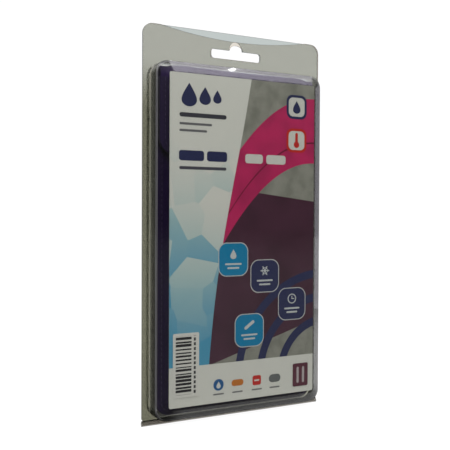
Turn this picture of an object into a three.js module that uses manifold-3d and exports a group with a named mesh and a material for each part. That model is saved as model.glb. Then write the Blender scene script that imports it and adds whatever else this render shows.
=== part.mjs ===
// A two-pen evaporative cooling wallet in its clear folded clamshell pack, in millimetres.
// +X is to the right, the window faces -Y, +Z is up.
// The origin is the top of the hanging slot, where a peg bears, on the plane where the two halves meet.

import * as THREE from 'three';
import { mergeVertices } from 'three/addons/utils/BufferGeometryUtils.js';
import Module from 'manifold-3d';

const wasm = await Module();
wasm.setup();

// Hanging slot: a bar with a round rise in its middle
const slotWidth = 32;
const slotBarHeight = 5.3;
const slotBarCorner = 1.7;
const slotRiseWidth = 8.5;
const slotRiseHeight = 5.2;
const frontSlotRiseHeight = 2.9;

// Clear sheets: outline, thickness and the gap between the two flanges
const headerAboveSlot = 4.4;
const slotAboveCavity = 6;
const headerCorner = 5.6;
const flangeFootCorner = 1.6;
const sheetThickness = 0.5;
const matingGap = 0.3;
const thumbDip = 4.6;
const thumbDipFromSide = 10.15;

// Hollow of the clamshell: its outline on the mating plane, then the front profile and the rear tray
const flangeMargin = 4.13;
const cavityFootMargin = 3.6;
const cavityCorner = 7;
const leastCorner = 1.2;
const wallDraft = 0.6;
const bevelDepth = 4.3;
const windowInset = 6.63;
const trayDraft = 0.8;
const footRadius = 0.9;
const bevelRadius = 1.1;
const trayRadius = 2.2;

// Folded bead along the foot, which is the hinge
const beadRadius = 1.2;
const beadThickness = 0.5;
const beadClearance = 0.3;
const beadGapAngle = 40;

// Printed card and the two labels on it
const cardThickness = 0.4;
const cardCorner = 1;
const cardBehindWindow = 0.65;
const cardClearance = 0.4;
const labelThickness = 0.15;
const labelGap = 0.15;
const labelCorner = 0.8;
const codeLabelWidth = 15.5;
const codeLabelHeight = 35;
const codeLabelLeft = 2.2;
const codeLabelFoot = 6.4;
const swatchLabelWidth = 10.5;
const swatchLabelHeight = 13.5;
const swatchLabelRight = 3.6;
const swatchLabelFoot = 4.6;

// Layers of the wallet, outward from its middle plane
const walletMiddle = -2;
const penSpace = 4.5;
const liningThickness = 0.4;
const gelThickness = 1.5;
const gelEdgeThickness = 0.3;
const skinThickness = 0.5;
const layerGap = 0.15;
const pouchClearance = 0.3;
const coverThickness = 0.8;
const seamGap = 0.3;

// Outer cover of the wallet, and the room that the hollow of the pack leaves round it
const coverWidth = 98.6;
const coverHeight = 183.9;
const coverCorner = 6.5;
const coverSideRoom = 3.72;
const coverFootRoom = 2.6;
const coverTopRoom = 8.7;
const coverSeam = 3.5;
const coverShoulder = 12;
const hemHeight = 9;
const hemExtra = 0.2;
const tapeThickness = 0.5;
const tapeLeg = 3.1;
const tapeGap = 0.15;
const tapeRound = 0.35;

// Removable inner pouch with its gel channels
const pouchSideRoom = 7.4;
const pouchTopRoom = 4;
const pouchCorner = 7;
const pouchSeam = 3.2;
const pouchShoulder = 8;
const mouthBandHeight = 9;
const mouthBandThickness = 1;
const pouchTapeThickness = 0.4;
const pouchTapeLeg = 2.8;
const gelChannels = 4;
const gelSideGap = 1.2;
const gelFootRoom = 12;
const gelTopRoom = 3;
const gelCorner = 4;
const quiltDip = 0.9;

// Fold-over flap and its touch fastener
const flapSideRoom = 2.3;
const flapDrop = 42;
const flapRise = 5.6;
const flapThickness = 0.8;
const flapCorner = 9;
const flapSideRiseShare = 0.85;
const flapSideSettle = 1.2;
const seamClearance = 0.3;
const stripSideRoom = 22;
const stripHeight = 18;
const stripCorner = 2;
const stripThickness = 0.7;
const stripFromFlapEnd = 5;

// Folded leaflet behind the wallet
const leafletSideRoom = 12.3;
const leafletFootRoom = 29.4;
const leafletTopRoom = 22.5;
const leafThickness = 0.3;
const leafGap = 0.2;
const leafletBehindCover = 0.45;
const leafletClearance = 0.4;

// Counts that set how finely curves are stepped
const cornerSteps = 6;
const filletSteps = 2;
const beadSteps = 14;
const panelRows = 6;
const middleColumns = 6;
const flapColumns = 14;
const cornerRows = 4;
const channelColumns = 4;
const shoulderSteps = 3;
const gelColumns = 4;
const gelRows = 3;
const flapFoldRows = 10;
const flapDropRows = 6;
const tapeSideSteps = 3;
const tapeFootSteps = 10;
const leastRowShare = 0.12;

// Outlines, worked out from the wallet outwards
const coverHalf = coverWidth / 2;
const halfCavity = coverHalf + coverSideRoom;
const halfPack = halfCavity + flangeMargin;
const packWidth = 2 * halfPack;
const halfGap = matingGap / 2;
const headerTop = headerAboveSlot;
const slotBarTop = -slotRiseHeight;
const cavityTop = slotBarTop - slotBarHeight - slotAboveCavity;
const coverTop = cavityTop - coverTopRoom;
const coverLow = coverTop - coverHeight;
const cavityFoot = coverLow - coverFootRoom;
const packFoot = cavityFoot - cavityFootMargin;
const beadCentre = packFoot + beadRadius;
const flangeFoot = beadCentre + beadRadius + beadClearance;
const halfThumbDip = halfPack - thumbDipFromSide;
const thumbDipRadius = (halfThumbDip ** 2 + thumbDip ** 2) / (2 * thumbDip);
const cardHalfWidth = halfCavity - windowInset;
const cardFoot = cavityFoot + windowInset;
const cardTop = cavityTop - windowInset;
const coverPanelTop = coverTop - hemHeight - layerGap;
const pouchHalf = coverHalf - pouchSideRoom;
const pouchLow = coverLow + pouchSideRoom;
const pouchTop = coverTop - pouchTopRoom;
const pouchPanelTop = pouchTop - mouthBandHeight - layerGap;
const flapEnd = coverTop - flapDrop;
const halfFlap = coverHalf - flapSideRoom;
const halfStrip = halfFlap - stripSideRoom;
const halfLeaflet = coverHalf - leafletSideRoom;
const channelReach = pouchHalf - pouchSeam - pouchShoulder;
const gelChannelPitch = 2 * channelReach / gelChannels;

// Levels are distances from the wallet's middle plane
const halfSeamGap = seamGap / 2;
const liningInner = penSpace / 2;
const liningOuter = liningInner + liningThickness;
const gelInner = liningOuter + layerGap;
const skinInner = gelInner + gelThickness + layerGap;
const skinOuter = skinInner + skinThickness;
const coverInner = skinOuter + pouchClearance;
const coverOuter = coverInner + coverThickness;
const liningSeamOuter = halfSeamGap + liningThickness;
const skinSeamInner = liningSeamOuter + layerGap;
const skinSeamOuter = skinSeamInner + skinThickness;
const coverSeamOuter = halfSeamGap + coverThickness;

// The flap's front falls back with the fourth power of the distance from its middle.
// At its sides its middle layer settles a little below the level of the cover's face.
// Its stand is the least that still clears the corners of the touch fastener.
const fastenerStack = 2 * (stripThickness + layerGap);
const stripEdgeShare = (halfStrip / halfFlap) ** 4;
const halfFlapThickness = flapThickness / 2;
const flapSideDepth = halfFlapThickness + flapSideSettle;
const flapStand = (fastenerStack + layerGap + stripEdgeShare * flapSideDepth) / (1 - stripEdgeShare);
const flapDroop = flapStand + flapSideDepth;
const flapInner = coverOuter + flapStand;
const flapTapeOuter = flapInner + flapThickness + tapeGap + tapeThickness;

// Depths of the pack: the front clears the card in front of the flap, the tray clears the leaflet
const cardBack = walletMiddle - flapTapeOuter - cardClearance;
const cardFront = cardBack - cardThickness;
const windowDepth = -cardFront + cardBehindWindow + sheetThickness;
const wallDepth = windowDepth - bevelDepth;
const leafletFront = walletMiddle + coverOuter + leafletBehindCover;
const leafletBack = leafletFront + 2 * leafThickness + leafGap;
const trayDepth = leafletBack + leafletClearance + sheetThickness;

/**
 * Turns a closed triangle mesh the right way out by the sign of its volume.
 * @param {number[]} positions three numbers a vertex
 * @param {number[]} triangles three indices a triangle
 * @returns {THREE.BufferGeometry}
 */
function solidFrom(positions, triangles) {
  const corner = (index) => new THREE.Vector3().fromArray(positions, 3 * index);
  let volume = 0;
  for (let t = 0; t < triangles.length; t += 3) {
    const a = corner(triangles[t]);
    volume += a.dot(corner(triangles[t + 1]).cross(corner(triangles[t + 2])));
  }
  const faces = volume > 0 ? triangles : [...triangles].reverse();
  const geometry = new THREE.BufferGeometry();
  geometry.setAttribute('position', new THREE.Float32BufferAttribute(positions, 3));
  geometry.setIndex(faces);
  return geometry;
}

/** Merges shared corners and hands a closed mesh to the boolean library. */
function toManifold(geometry) {
  const bare = geometry.clone();
  bare.deleteAttribute('normal');
  bare.deleteAttribute('uv');
  const merged = mergeVertices(bare);
  const vertProperties = new Float32Array(merged.attributes.position.array);
  const triVerts = new Uint32Array(merged.index.array);
  return new wasm.Manifold(new wasm.Mesh({ numProp: 3, vertProperties, triVerts }));
}

/** Turns a boolean result back into a geometry. */
function fromManifold(manifold) {
  const mesh = manifold.getMesh();
  const geometry = new THREE.BufferGeometry();
  geometry.setAttribute('position', new THREE.Float32BufferAttribute(mesh.vertProperties, 3));
  geometry.setIndex([...mesh.triVerts]);
  return geometry;
}

/** Points of a rounded rectangle in the X-Z plane, with each corner an arc of equal steps. */
function roundedRing(halfWidth, low, high, radius) {
  const points = [];
  const centres = [
    [halfWidth - radius, high - radius, 0],
    [radius - halfWidth, high - radius, 1],
    [radius - halfWidth, low + radius, 2],
    [halfWidth - radius, low + radius, 3],
  ];
  for (const [x, z, quarter] of centres) {
    for (let step = 0; step <= cornerSteps; step += 1) {
      const angle = (quarter + step / cornerSteps) * Math.PI / 2;
      points.push([x + radius * Math.cos(angle), z + radius * Math.sin(angle)]);
    }
  }
  return points;
}

/** Joins rings of equally many points into one closed body with a flat cap at each end. */
function loft(rings) {
  const count = rings[0].points.length;
  const positions = rings.flatMap(({ points, y }) => points.flatMap(([x, z]) => [x, y, z]));
  const triangles = [];
  for (let ring = 0; ring + 1 < rings.length; ring += 1) {
    for (let i = 0; i < count; i += 1) {
      const next = (i + 1) % count;
      const a = ring * count + i;
      const b = ring * count + next;
      triangles.push(a, b, b + count, a, b + count, a + count);
    }
  }
  const last = (rings.length - 1) * count;
  for (let i = 1; i + 1 < count; i += 1) {
    triangles.push(0, i + 1, i);
    triangles.push(last, last + i, last + i + 1);
  }
  return solidFrom(positions, triangles);
}

/** Rounds the inner corners of a polyline of [inset, depth] points, one radius each. */
function filletPolyline(points, radii) {
  const out = [points[0]];
  for (let i = 1; i + 1 < points.length; i += 1) {
    const corner = new THREE.Vector2(...points[i]);
    const before = new THREE.Vector2(...points[i - 1]).sub(corner).normalize();
    const after = new THREE.Vector2(...points[i + 1]).sub(corner).normalize();
    const halfAngle = Math.acos(THREE.MathUtils.clamp(before.dot(after), -1, 1)) / 2;
    const reach = radii[i - 1] / Math.tan(halfAngle);
    const start = corner.clone().addScaledVector(before, reach);
    const end = corner.clone().addScaledVector(after, reach);
    const curve = new THREE.QuadraticBezierCurve(start, corner, end);
    curve.getPoints(filletSteps).forEach((point) => out.push([point.x, point.y]));
  }
  out.push(points[points.length - 1]);
  return out;
}

/** Moves a polyline sideways by a distance, with mitred corners. */
function offsetPolyline(points, distance) {
  return points.map((point, i) => {
    const here = new THREE.Vector2(...point);
    const back = new THREE.Vector2(...points[Math.max(i - 1, 0)]);
    const ahead = new THREE.Vector2(...points[Math.min(i + 1, points.length - 1)]);
    const into = (i === 0 ? ahead.clone().sub(here) : here.clone().sub(back)).normalize();
    const away = (i === points.length - 1 ? here.clone().sub(back) : ahead.clone().sub(here)).normalize();
    const normalIn = new THREE.Vector2(into.y, -into.x);
    const normalAway = new THREE.Vector2(away.y, -away.x);
    const middle = normalIn.clone().add(normalAway).normalize();
    here.addScaledVector(middle, distance / middle.dot(normalIn));
    return [here.x, here.y];
  });
}

/** Rings of the clamshell's hollow at each [inset, depth] of a profile; front is -1, rear is +1. */
function cavityRings(profile, side) {
  return profile.map(([inset, depth]) => ({
    y: side * depth,
    points: roundedRing(
      halfCavity - inset,
      cavityFoot + inset,
      cavityTop - inset,
      Math.max(cavityCorner - inset, leastCorner),
    ),
  }));
}

/** Extrudes a shape drawn in X and Z towards the front, from its back face. */
function plate(shape, back, thickness, curveSegments = cornerSteps) {
  const geometry = new THREE.ExtrudeGeometry(shape, { depth: thickness, bevelEnabled: false, curveSegments });
  geometry.rotateX(Math.PI / 2);
  geometry.translate(0, back, 0);
  return geometry;
}

/** A rounded rectangle as a shape in X and Z. */
function roundedShape(left, right, low, high, radius) {
  const shape = new THREE.Shape();
  shape.moveTo(left + radius, low);
  shape.lineTo(right - radius, low);
  shape.absarc(right - radius, low + radius, radius, -Math.PI / 2, 0);
  shape.lineTo(right, high - radius);
  shape.absarc(right - radius, high - radius, radius, 0, Math.PI / 2);
  shape.lineTo(left + radius, high);
  shape.absarc(left + radius, high - radius, radius, Math.PI / 2, Math.PI);
  shape.lineTo(left, low + radius);
  shape.absarc(left + radius, low + radius, radius, Math.PI, 3 * Math.PI / 2);
  return shape;
}

/** The slot: a bar with rounded ends and a half ellipse on its top edge. */
function slotHole(riseHeight) {
  const half = slotWidth / 2;
  const low = slotBarTop - slotBarHeight;
  const r = slotBarCorner;
  const hole = new THREE.Path();
  hole.moveTo(half - r, slotBarTop);
  hole.lineTo(slotRiseWidth / 2, slotBarTop);
  hole.absellipse(0, slotBarTop, slotRiseWidth / 2, riseHeight, 0, Math.PI, false);
  hole.lineTo(r - half, slotBarTop);
  hole.absarc(r - half, slotBarTop - r, r, Math.PI / 2, Math.PI);
  hole.absarc(r - half, low + r, r, Math.PI, 3 * Math.PI / 2);
  hole.lineTo(half - r, low);
  hole.absarc(half - r, low + r, r, 3 * Math.PI / 2, 2 * Math.PI);
  hole.absarc(half - r, slotBarTop - r, r, 0, Math.PI / 2);
  return hole;
}

/** Outline of a flange with its header; a dip gives the top edge a shallow thumb arc. */
function flangeShape(dipped, riseHeight) {
  const head = headerCorner;
  const foot = flangeFootCorner;
  const shape = new THREE.Shape();
  shape.moveTo(foot - halfPack, flangeFoot);
  shape.lineTo(halfPack - foot, flangeFoot);
  shape.absarc(halfPack - foot, flangeFoot + foot, foot, -Math.PI / 2, 0);
  shape.lineTo(halfPack, headerTop - head);
  shape.absarc(halfPack - head, headerTop - head, head, 0, Math.PI / 2);
  if (dipped) {
    const halfSweep = Math.asin(halfThumbDip / thumbDipRadius);
    const centre = headerTop - thumbDip + thumbDipRadius;
    shape.absarc(0, centre, thumbDipRadius, -Math.PI / 2 + halfSweep, -Math.PI / 2 - halfSweep, true);
  }
  shape.lineTo(head - halfPack, headerTop);
  shape.absarc(head - halfPack, headerTop - head, head, Math.PI / 2, Math.PI);
  shape.lineTo(-halfPack, flangeFoot + foot);
  shape.absarc(foot - halfPack, flangeFoot + foot, foot, Math.PI, 3 * Math.PI / 2);
  shape.holes.push(slotHole(riseHeight));
  return shape;
}

/** A thermoformed half: the flange joined to a thin-walled hollow drawn along a profile. */
function formedHalf(shape, profile, side) {
  const flangeBack = side < 0 ? -halfGap : halfGap + sheetThickness;
  const mouth = profile[0];
  const outer = [[mouth[0], halfGap], ...profile.slice(1)];
  const inner = offsetPolyline(profile, sheetThickness);
  const drawn = toManifold(loft(cavityRings(outer, side)));
  const hollow = toManifold(loft(cavityRings([[inner[0][0], -halfGap], ...inner], side)));
  const flange = toManifold(plate(shape, flangeBack, sheetThickness));
  return fromManifold(flange.add(drawn).subtract(hollow));
}

/** Height of a row and the half width of a rounded outline there, from foot to top. */
function outlineRows({ half, low, high, footRound, topRound, steps }) {
  const rows = [];
  const push = (z, narrowing) => rows.push({ z, half: half - narrowing });
  const arc = (radius, turn) => [radius * (1 - Math.cos(turn)), radius * (1 - Math.sin(turn))];
  const footSteps = footRound > 0 ? cornerRows : 0;
  const topSteps = topRound > 0 ? cornerRows : 0;
  for (let i = 0; i < footSteps; i += 1) {
    const [rise, narrowing] = arc(footRound, (i / footSteps) * Math.PI / 2);
    push(low + rise, narrowing);
  }
  const start = low + footRound;
  const end = high - topRound;
  for (let i = 0; i <= steps; i += 1) {
    push(start + (end - start) * i / steps, 0);
  }
  for (let i = topSteps - 1; i >= 0; i -= 1) {
    const [rise, narrowing] = arc(topRound, (i / topSteps) * Math.PI / 2);
    push(high - rise, narrowing);
  }
  return rows;
}

/** Shares of the half width, closer together towards the edges. */
function edgeShares(columns) {
  return Array.from({ length: columns + 1 }, (_, i) => Math.sin(Math.PI * (i / columns - 0.5)));
}

/** Closed body between two grids of points that share their rows and columns. */
function gridSolid(gridA, gridB) {
  const rows = gridA.length;
  const columns = gridA[0].length;
  const positions = [...gridA.flat(), ...gridB.flat()].flat();
  const back = rows * columns;
  const at = (row, column) => row * columns + column;
  const triangles = [];
  for (let row = 0; row + 1 < rows; row += 1) {
    for (let column = 0; column + 1 < columns; column += 1) {
      const [a, b] = [at(row, column), at(row, column + 1)];
      const [c, d] = [at(row + 1, column + 1), at(row + 1, column)];
      triangles.push(a, b, c, a, c, d);
      triangles.push(back + a, back + c, back + b, back + a, back + d, back + c);
    }
  }
  const rim = [];
  for (let column = 0; column + 1 < columns; column += 1) rim.push(at(0, column));
  for (let row = 0; row + 1 < rows; row += 1) rim.push(at(row, columns - 1));
  for (let column = columns - 1; column > 0; column -= 1) rim.push(at(rows - 1, column));
  for (let row = rows - 1; row > 0; row -= 1) rim.push(at(row, 0));
  rim.forEach((a, i) => {
    const b = rim[(i + 1) % rim.length];
    triangles.push(a, back + a, back + b, a, back + b, b);
  });
  return solidFrom(positions, triangles);
}

/** Distance from a point to the sewn sides and foot of an outline whose top is open. */
function sewnDistance({ half, low, radius }, x, z) {
  const across = Math.max(Math.abs(x) - (half - radius), 0);
  const down = Math.max(low + radius - z, 0);
  if (across > 0 && down > 0) return radius - Math.hypot(across, down);
  return Math.min(half - Math.abs(x), z - low);
}

/** Share of its full thickness that a padded panel has at a distance from its sewn edge. */
function swell({ seam, shoulder }, distance) {
  return Math.sin(Math.PI / 2 * THREE.MathUtils.clamp((distance - seam) / shoulder, 0, 1));
}

const coverOutline = {
  half: coverHalf, low: coverLow, radius: coverCorner, seam: coverSeam, shoulder: coverShoulder,
};
const pouchOutline = {
  half: pouchHalf, low: pouchLow, radius: pouchCorner, seam: pouchSeam, shoulder: pouchShoulder,
};
const coverSwell = (x, z) => swell(coverOutline, sewnDistance(coverOutline, x, z));
const pouchSwell = (x, z) => swell(pouchOutline, sewnDistance(pouchOutline, x, z));
const coverLevel = (x, z) => halfSeamGap + (coverInner - halfSeamGap) * coverSwell(x, z);

/** Share of the full quilt height across the channels: nought on a sewn line, one midway between two. */
function quilt(x) {
  if (Math.abs(x) >= channelReach) return 0;
  const phase = (x + channelReach) / gelChannelPitch;
  return Math.sqrt(Math.abs(Math.sin(Math.PI * phase)));
}

/** Distances from the sewn edge at which a panel bends: the edge, the seam, and steps up its shoulder. */
function bendDistances({ seam, shoulder }) {
  const steps = Array.from({ length: shoulderSteps }, (_, i) => seam + shoulder * (i + 1) / shoulderSteps);
  return [0, seam, ...steps];
}

/** Half width, at a height, of a sewn outline taken in by a distance. */
function insetHalf({ half, low, radius }, distance, z) {
  const round = Math.max(radius - distance, 0);
  const drop = Math.max(low + distance + round - z, 0);
  return half - distance - round + Math.sqrt(Math.max(round ** 2 - drop ** 2, 0));
}

/** Places across a panel at one height: each bend distance on both sides, and shares of the flat between. */
function acrossPanel(outline, z, middleShares) {
  let last = { x: insetHalf(outline, 0, z), distance: 0 };
  const sides = bendDistances(outline).map((distance) => {
    const narrowed = last.x * (outline.half - distance) / (outline.half - last.distance);
    const reached = z >= outline.low + distance;
    last = { x: reached ? insetHalf(outline, distance, z) : narrowed, distance };
    return last.x;
  });
  const middle = middleShares.map((share) => share * last.x);
  return [...sides.map((x) => -x), ...middle, ...sides.reverse()];
}

/** Heights of a panel's rows: through its rounded foot and shoulder, then even steps to its top. */
function upPanel(outline, high, steps) {
  const { low, radius, seam } = outline;
  const arcs = Array.from({ length: cornerRows }, (_, i) => {
    const turn = Math.PI / 2 * i / cornerRows;
    return radius * (1 - Math.cos(turn));
  });
  const heights = [...arcs, radius, ...bendDistances(outline)].sort((a, b) => a - b);
  const kept = heights.filter((height, i) => {
    const step = height - heights[i - 1];
    return i === 0 || step > seam * leastRowShare;
  });
  const start = kept[kept.length - 1];
  for (let i = 1; i <= steps; i += 1) kept.push(start + (high - low - start) * i / steps);
  return kept.map((height) => low + height);
}

/** A fabric panel on one side of the wallet's middle plane, between two levels. */
function panel({ outline, heights, middleShares, side, inner, thickness }) {
  const grid = (extra) => heights.map((z) => acrossPanel(outline, z, middleShares).map(
    (x) => [x, walletMiddle + side * (inner(x, z) + extra), z],
  ));
  return gridSolid(grid(0), grid(thickness));
}

/** Path down one side of an outline, round its foot and up the other side, with outward directions. */
function sewnPath(half, low, high, radius) {
  const path = [];
  const side = (x, from, to) => {
    for (let i = 0; i <= tapeSideSteps; i += 1) {
      path.push({ x, z: from + (to - from) * i / tapeSideSteps, out: [Math.sign(x), 0] });
    }
  };
  const corner = (x, z, startAngle) => {
    for (let i = 1; i <= cornerSteps; i += 1) {
      const angle = startAngle + (i / cornerSteps) * Math.PI / 2;
      const out = [Math.cos(angle), Math.sin(angle)];
      path.push({ x: x + radius * out[0], z: z + radius * out[1], out });
    }
  };
  side(-half, high, low + radius);
  corner(radius - half, low + radius, Math.PI);
  for (let i = 1; i <= tapeFootSteps; i += 1) {
    path.push({ x: (half - radius) * (2 * i / tapeFootSteps - 1), z: low, out: [0, -1] });
  }
  corner(half - radius, low + radius, 3 * Math.PI / 2);
  side(half, low + radius, high);
  path.splice(path.length - tapeSideSteps - 1, 1);
  return path;
}

/** A folded tape along a sewn path: a C section whose two legs lie on the faces of what it binds. */
function bindingTape({ path, faceLevel, thickness, leg, surface = () => 0 }) {
  const near = faceLevel + tapeGap;
  const far = near + thickness;
  const web = tapeGap;
  const edge = web + thickness;
  const section = [
    [-leg, -far], [-leg / 2, -far], [edge - tapeRound, -far], [edge, tapeRound - far],
    [edge, far - tapeRound], [edge - tapeRound, far], [-leg / 2, far], [-leg, far],
    [-leg, near], [-leg / 2, near], [web, near], [web, -near], [-leg / 2, -near], [-leg, -near],
  ];
  const count = section.length;
  const positions = path.flatMap(({ x, z, out }) => section.flatMap(([along, level]) => {
    const px = x + along * out[0];
    return [px, walletMiddle + surface(px) + level, z + along * out[1]];
  }));
  const triangles = [];
  for (let step = 0; step + 1 < path.length; step += 1) {
    for (let i = 0; i < count; i += 1) {
      const a = step * count + i;
      const b = step * count + (i + 1) % count;
      triangles.push(a, b, b + count, a, b + count, a + count);
    }
  }
  const cap = THREE.ShapeUtils.triangulateShape(section.map(([u, v]) => new THREE.Vector2(u, v)), []);
  const last = (path.length - 1) * count;
  cap.forEach(([a, b, c]) => {
    triangles.push(a, c, b);
    triangles.push(last + a, last + b, last + c);
  });
  return solidFrom(positions, triangles);
}

/** Extrudes a polygon of [y, z] points along X, centred on the middle of the pack. */
function barAlongX(points, width) {
  const shape = new THREE.Shape(points.map(([y, z]) => new THREE.Vector2(y, z)));
  const geometry = new THREE.ExtrudeGeometry(shape, { depth: width, bevelEnabled: false });
  geometry.rotateY(Math.PI / 2);
  geometry.rotateX(Math.PI / 2);
  geometry.translate(-width / 2, 0, 0);
  return geometry;
}

/** The folded bead: a C section that wraps under the two flanges. */
function foldedBead() {
  const gap = THREE.MathUtils.degToRad(beadGapAngle) / 2;
  const arc = (radius) => Array.from({ length: beadSteps + 1 }, (_, i) => {
    const angle = gap + (2 * Math.PI - 2 * gap) * i / beadSteps;
    return [radius * Math.sin(angle), beadCentre + radius * Math.cos(angle)];
  });
  const section = [...arc(beadRadius), ...arc(beadRadius - beadThickness).reverse()];
  return barAlongX(section, packWidth);
}

/** The leaflet, folded once along its foot. */
function foldedLeaflet() {
  const low = coverLow + leafletFootRoom;
  const high = coverTop - leafletTopRoom;
  const [front, back] = [leafletFront, leafletBack];
  return barAlongX([
    [front, high], [front, low], [back, low], [back, high],
    [back - leafThickness, high], [back - leafThickness, low + leafThickness],
    [front + leafThickness, low + leafThickness], [front + leafThickness, high],
  ], 2 * halfLeaflet);
}

/** How far the flap's front falls back from its middle towards its sides. */
const flapFall = (x) => flapDroop * (x / halfFlap) ** 4;

/** The flap: up from the cover's back, over the mouth in a half ellipse, and down the front. */
function foldedFlap() {
  const shares = edgeShares(flapColumns);
  const rows = [];
  for (let i = 0; i <= flapFoldRows; i += 1) {
    rows.push({ turn: Math.PI * i / flapFoldRows, z: coverTop, half: halfFlap });
  }
  const front = { half: halfFlap, low: flapEnd, high: coverTop, footRound: flapCorner, topRound: 0 };
  const down = outlineRows({ ...front, steps: flapDropRows }).reverse().slice(1);
  down.forEach(({ z, half }) => rows.push({ turn: Math.PI, z, half }));
  const grid = (extra) => rows.map(({ turn, z, half }) => shares.map((share) => {
    const x = share * half;
    const backLevel = coverLevel(x, coverTop);
    const frontLevel = flapInner - flapFall(x);
    const reach = (backLevel + frontLevel) / 2 + extra;
    const riseShare = flapSideRiseShare + (1 - flapSideRiseShare) * coverSwell(x, coverTop);
    const rise = flapRise * riseShare + extra;
    const centre = (backLevel - frontLevel) / 2;
    const lift = turn < Math.PI ? seamClearance + rise * Math.sin(turn) : 0;
    return [x, walletMiddle + centre + reach * Math.cos(turn), z + lift];
  }));
  return gridSolid(grid(0), grid(flapThickness));
}

/** One gel channel: a flat pillow between the lining and the skin. */
function gelPillow(index, side) {
  const centre = (index + 0.5 - gelChannels / 2) * gelChannelPitch;
  const half = gelChannelPitch / 2 - gelSideGap;
  const rows = outlineRows({
    half,
    low: pouchLow + gelFootRoom,
    high: pouchPanelTop - gelTopRoom,
    footRound: gelCorner,
    topRound: gelCorner,
    steps: gelRows,
  });
  const shares = edgeShares(gelColumns);
  const foot = rows[0].z;
  const top = rows[rows.length - 1].z;
  const bulge = (x, z) => {
    const across = 1 - (x / half) ** 2;
    const ends = Math.min(1, (z - foot) / gelCorner, (top - z) / gelCorner);
    return gelEdgeThickness + (gelThickness - gelEdgeThickness) * across * ends;
  };
  const grid = (level) => rows.map((row) => shares.map((share) => {
    const x = share * row.half;
    return [centre + x, walletMiddle + side * level(x, row.z), row.z];
  }));
  return gridSolid(grid(() => gelInner), grid((x, z) => gelInner + bulge(x, z)));
}

// Finishes by what each piece is made of
const finish = (color, roughness, metalness = 0) => ({ color, roughness, metalness });
const finishes = {
  clear: finish(0xaaac9e, 0.12),
  card: finish(0xdfe6ea, 0.45),
  label: finish(0xf2f2f0, 0.55),
  swatch: finish(0x6a2147, 0.5),
  cover: finish(0x2c1c3c, 0.75),
  tape: finish(0x241731, 0.7),
  hook: finish(0x17141b, 0.85),
  pouch: finish(0x33204a, 0.8),
  gel: finish(0xd9dcd6, 0.4),
  paper: finish(0xf0efe9, 0.8),
};

const pack = new THREE.Group();

/** Adds one named piece with a material of its own. */
function add(name, geometry, look) {
  const mesh = new THREE.Mesh(geometry, new THREE.MeshStandardMaterial(finishes[look]));
  mesh.name = name;
  pack.add(mesh);
}

// Clear clamshell
const frontProfile = filletPolyline(
  [[0, halfGap], [wallDraft, wallDepth], [windowInset, windowDepth], [halfCavity / 2, windowDepth]],
  [bevelRadius, bevelRadius],
).slice(0, -1);
const rearProfile = filletPolyline(
  [[0, halfGap], [trayDraft, trayDepth], [halfCavity / 2, trayDepth]],
  [trayRadius],
).slice(0, -1);
add('rear_shell', formedHalf(flangeShape(false, slotRiseHeight), rearProfile, 1), 'clear');
add('front_shell', formedHalf(flangeShape(true, frontSlotRiseHeight), frontProfile, -1), 'clear');
add('hinge_fold', foldedBead(), 'clear');

// Card, labels and leaflet
const cardShape = roundedShape(-cardHalfWidth, cardHalfWidth, cardFoot, cardTop, cardCorner);
add('insert_card', plate(cardShape, cardBack, cardThickness), 'card');
const codeLeft = codeLabelLeft - cardHalfWidth;
const codeLow = cardFoot + codeLabelFoot;
const codeShape = roundedShape(
  codeLeft, codeLeft + codeLabelWidth, codeLow, codeLow + codeLabelHeight, labelCorner,
);
add('barcode_label', plate(codeShape, cardFront - labelGap, labelThickness), 'label');
const swatchRight = cardHalfWidth - swatchLabelRight;
const swatchLow = cardFoot + swatchLabelFoot;
const swatchShape = roundedShape(
  swatchRight - swatchLabelWidth, swatchRight, swatchLow, swatchLow + swatchLabelHeight, labelCorner,
);
add('colour_label', plate(swatchShape, cardFront - labelGap, labelThickness), 'swatch');
add('instruction_leaflet', foldedLeaflet(), 'paper');

// Outer cover
const evenShares = Array.from({ length: middleColumns - 1 }, (_, i) => 2 * (i + 1) / middleColumns - 1);
const coverPanel = {
  outline: coverOutline, middleShares: evenShares, inner: coverLevel, thickness: coverThickness,
};
const backHeights = upPanel(coverOutline, coverTop, panelRows);
const frontHeights = upPanel(coverOutline, coverPanelTop, panelRows);
const hemHeights = [coverPanelTop + layerGap, coverTop];
add('cover_back', panel({ ...coverPanel, heights: backHeights, side: 1 }), 'cover');
add('cover_front', panel({ ...coverPanel, heights: frontHeights, side: -1 }), 'cover');
add('cover_hem', panel({
  ...coverPanel, heights: hemHeights, side: -1, thickness: coverThickness + hemExtra,
}), 'tape');
add('cover_binding', bindingTape({
  path: sewnPath(coverHalf, coverLow, coverPanelTop, coverCorner),
  faceLevel: coverSeamOuter,
  thickness: tapeThickness,
  leg: tapeLeg,
}), 'tape');

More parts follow.
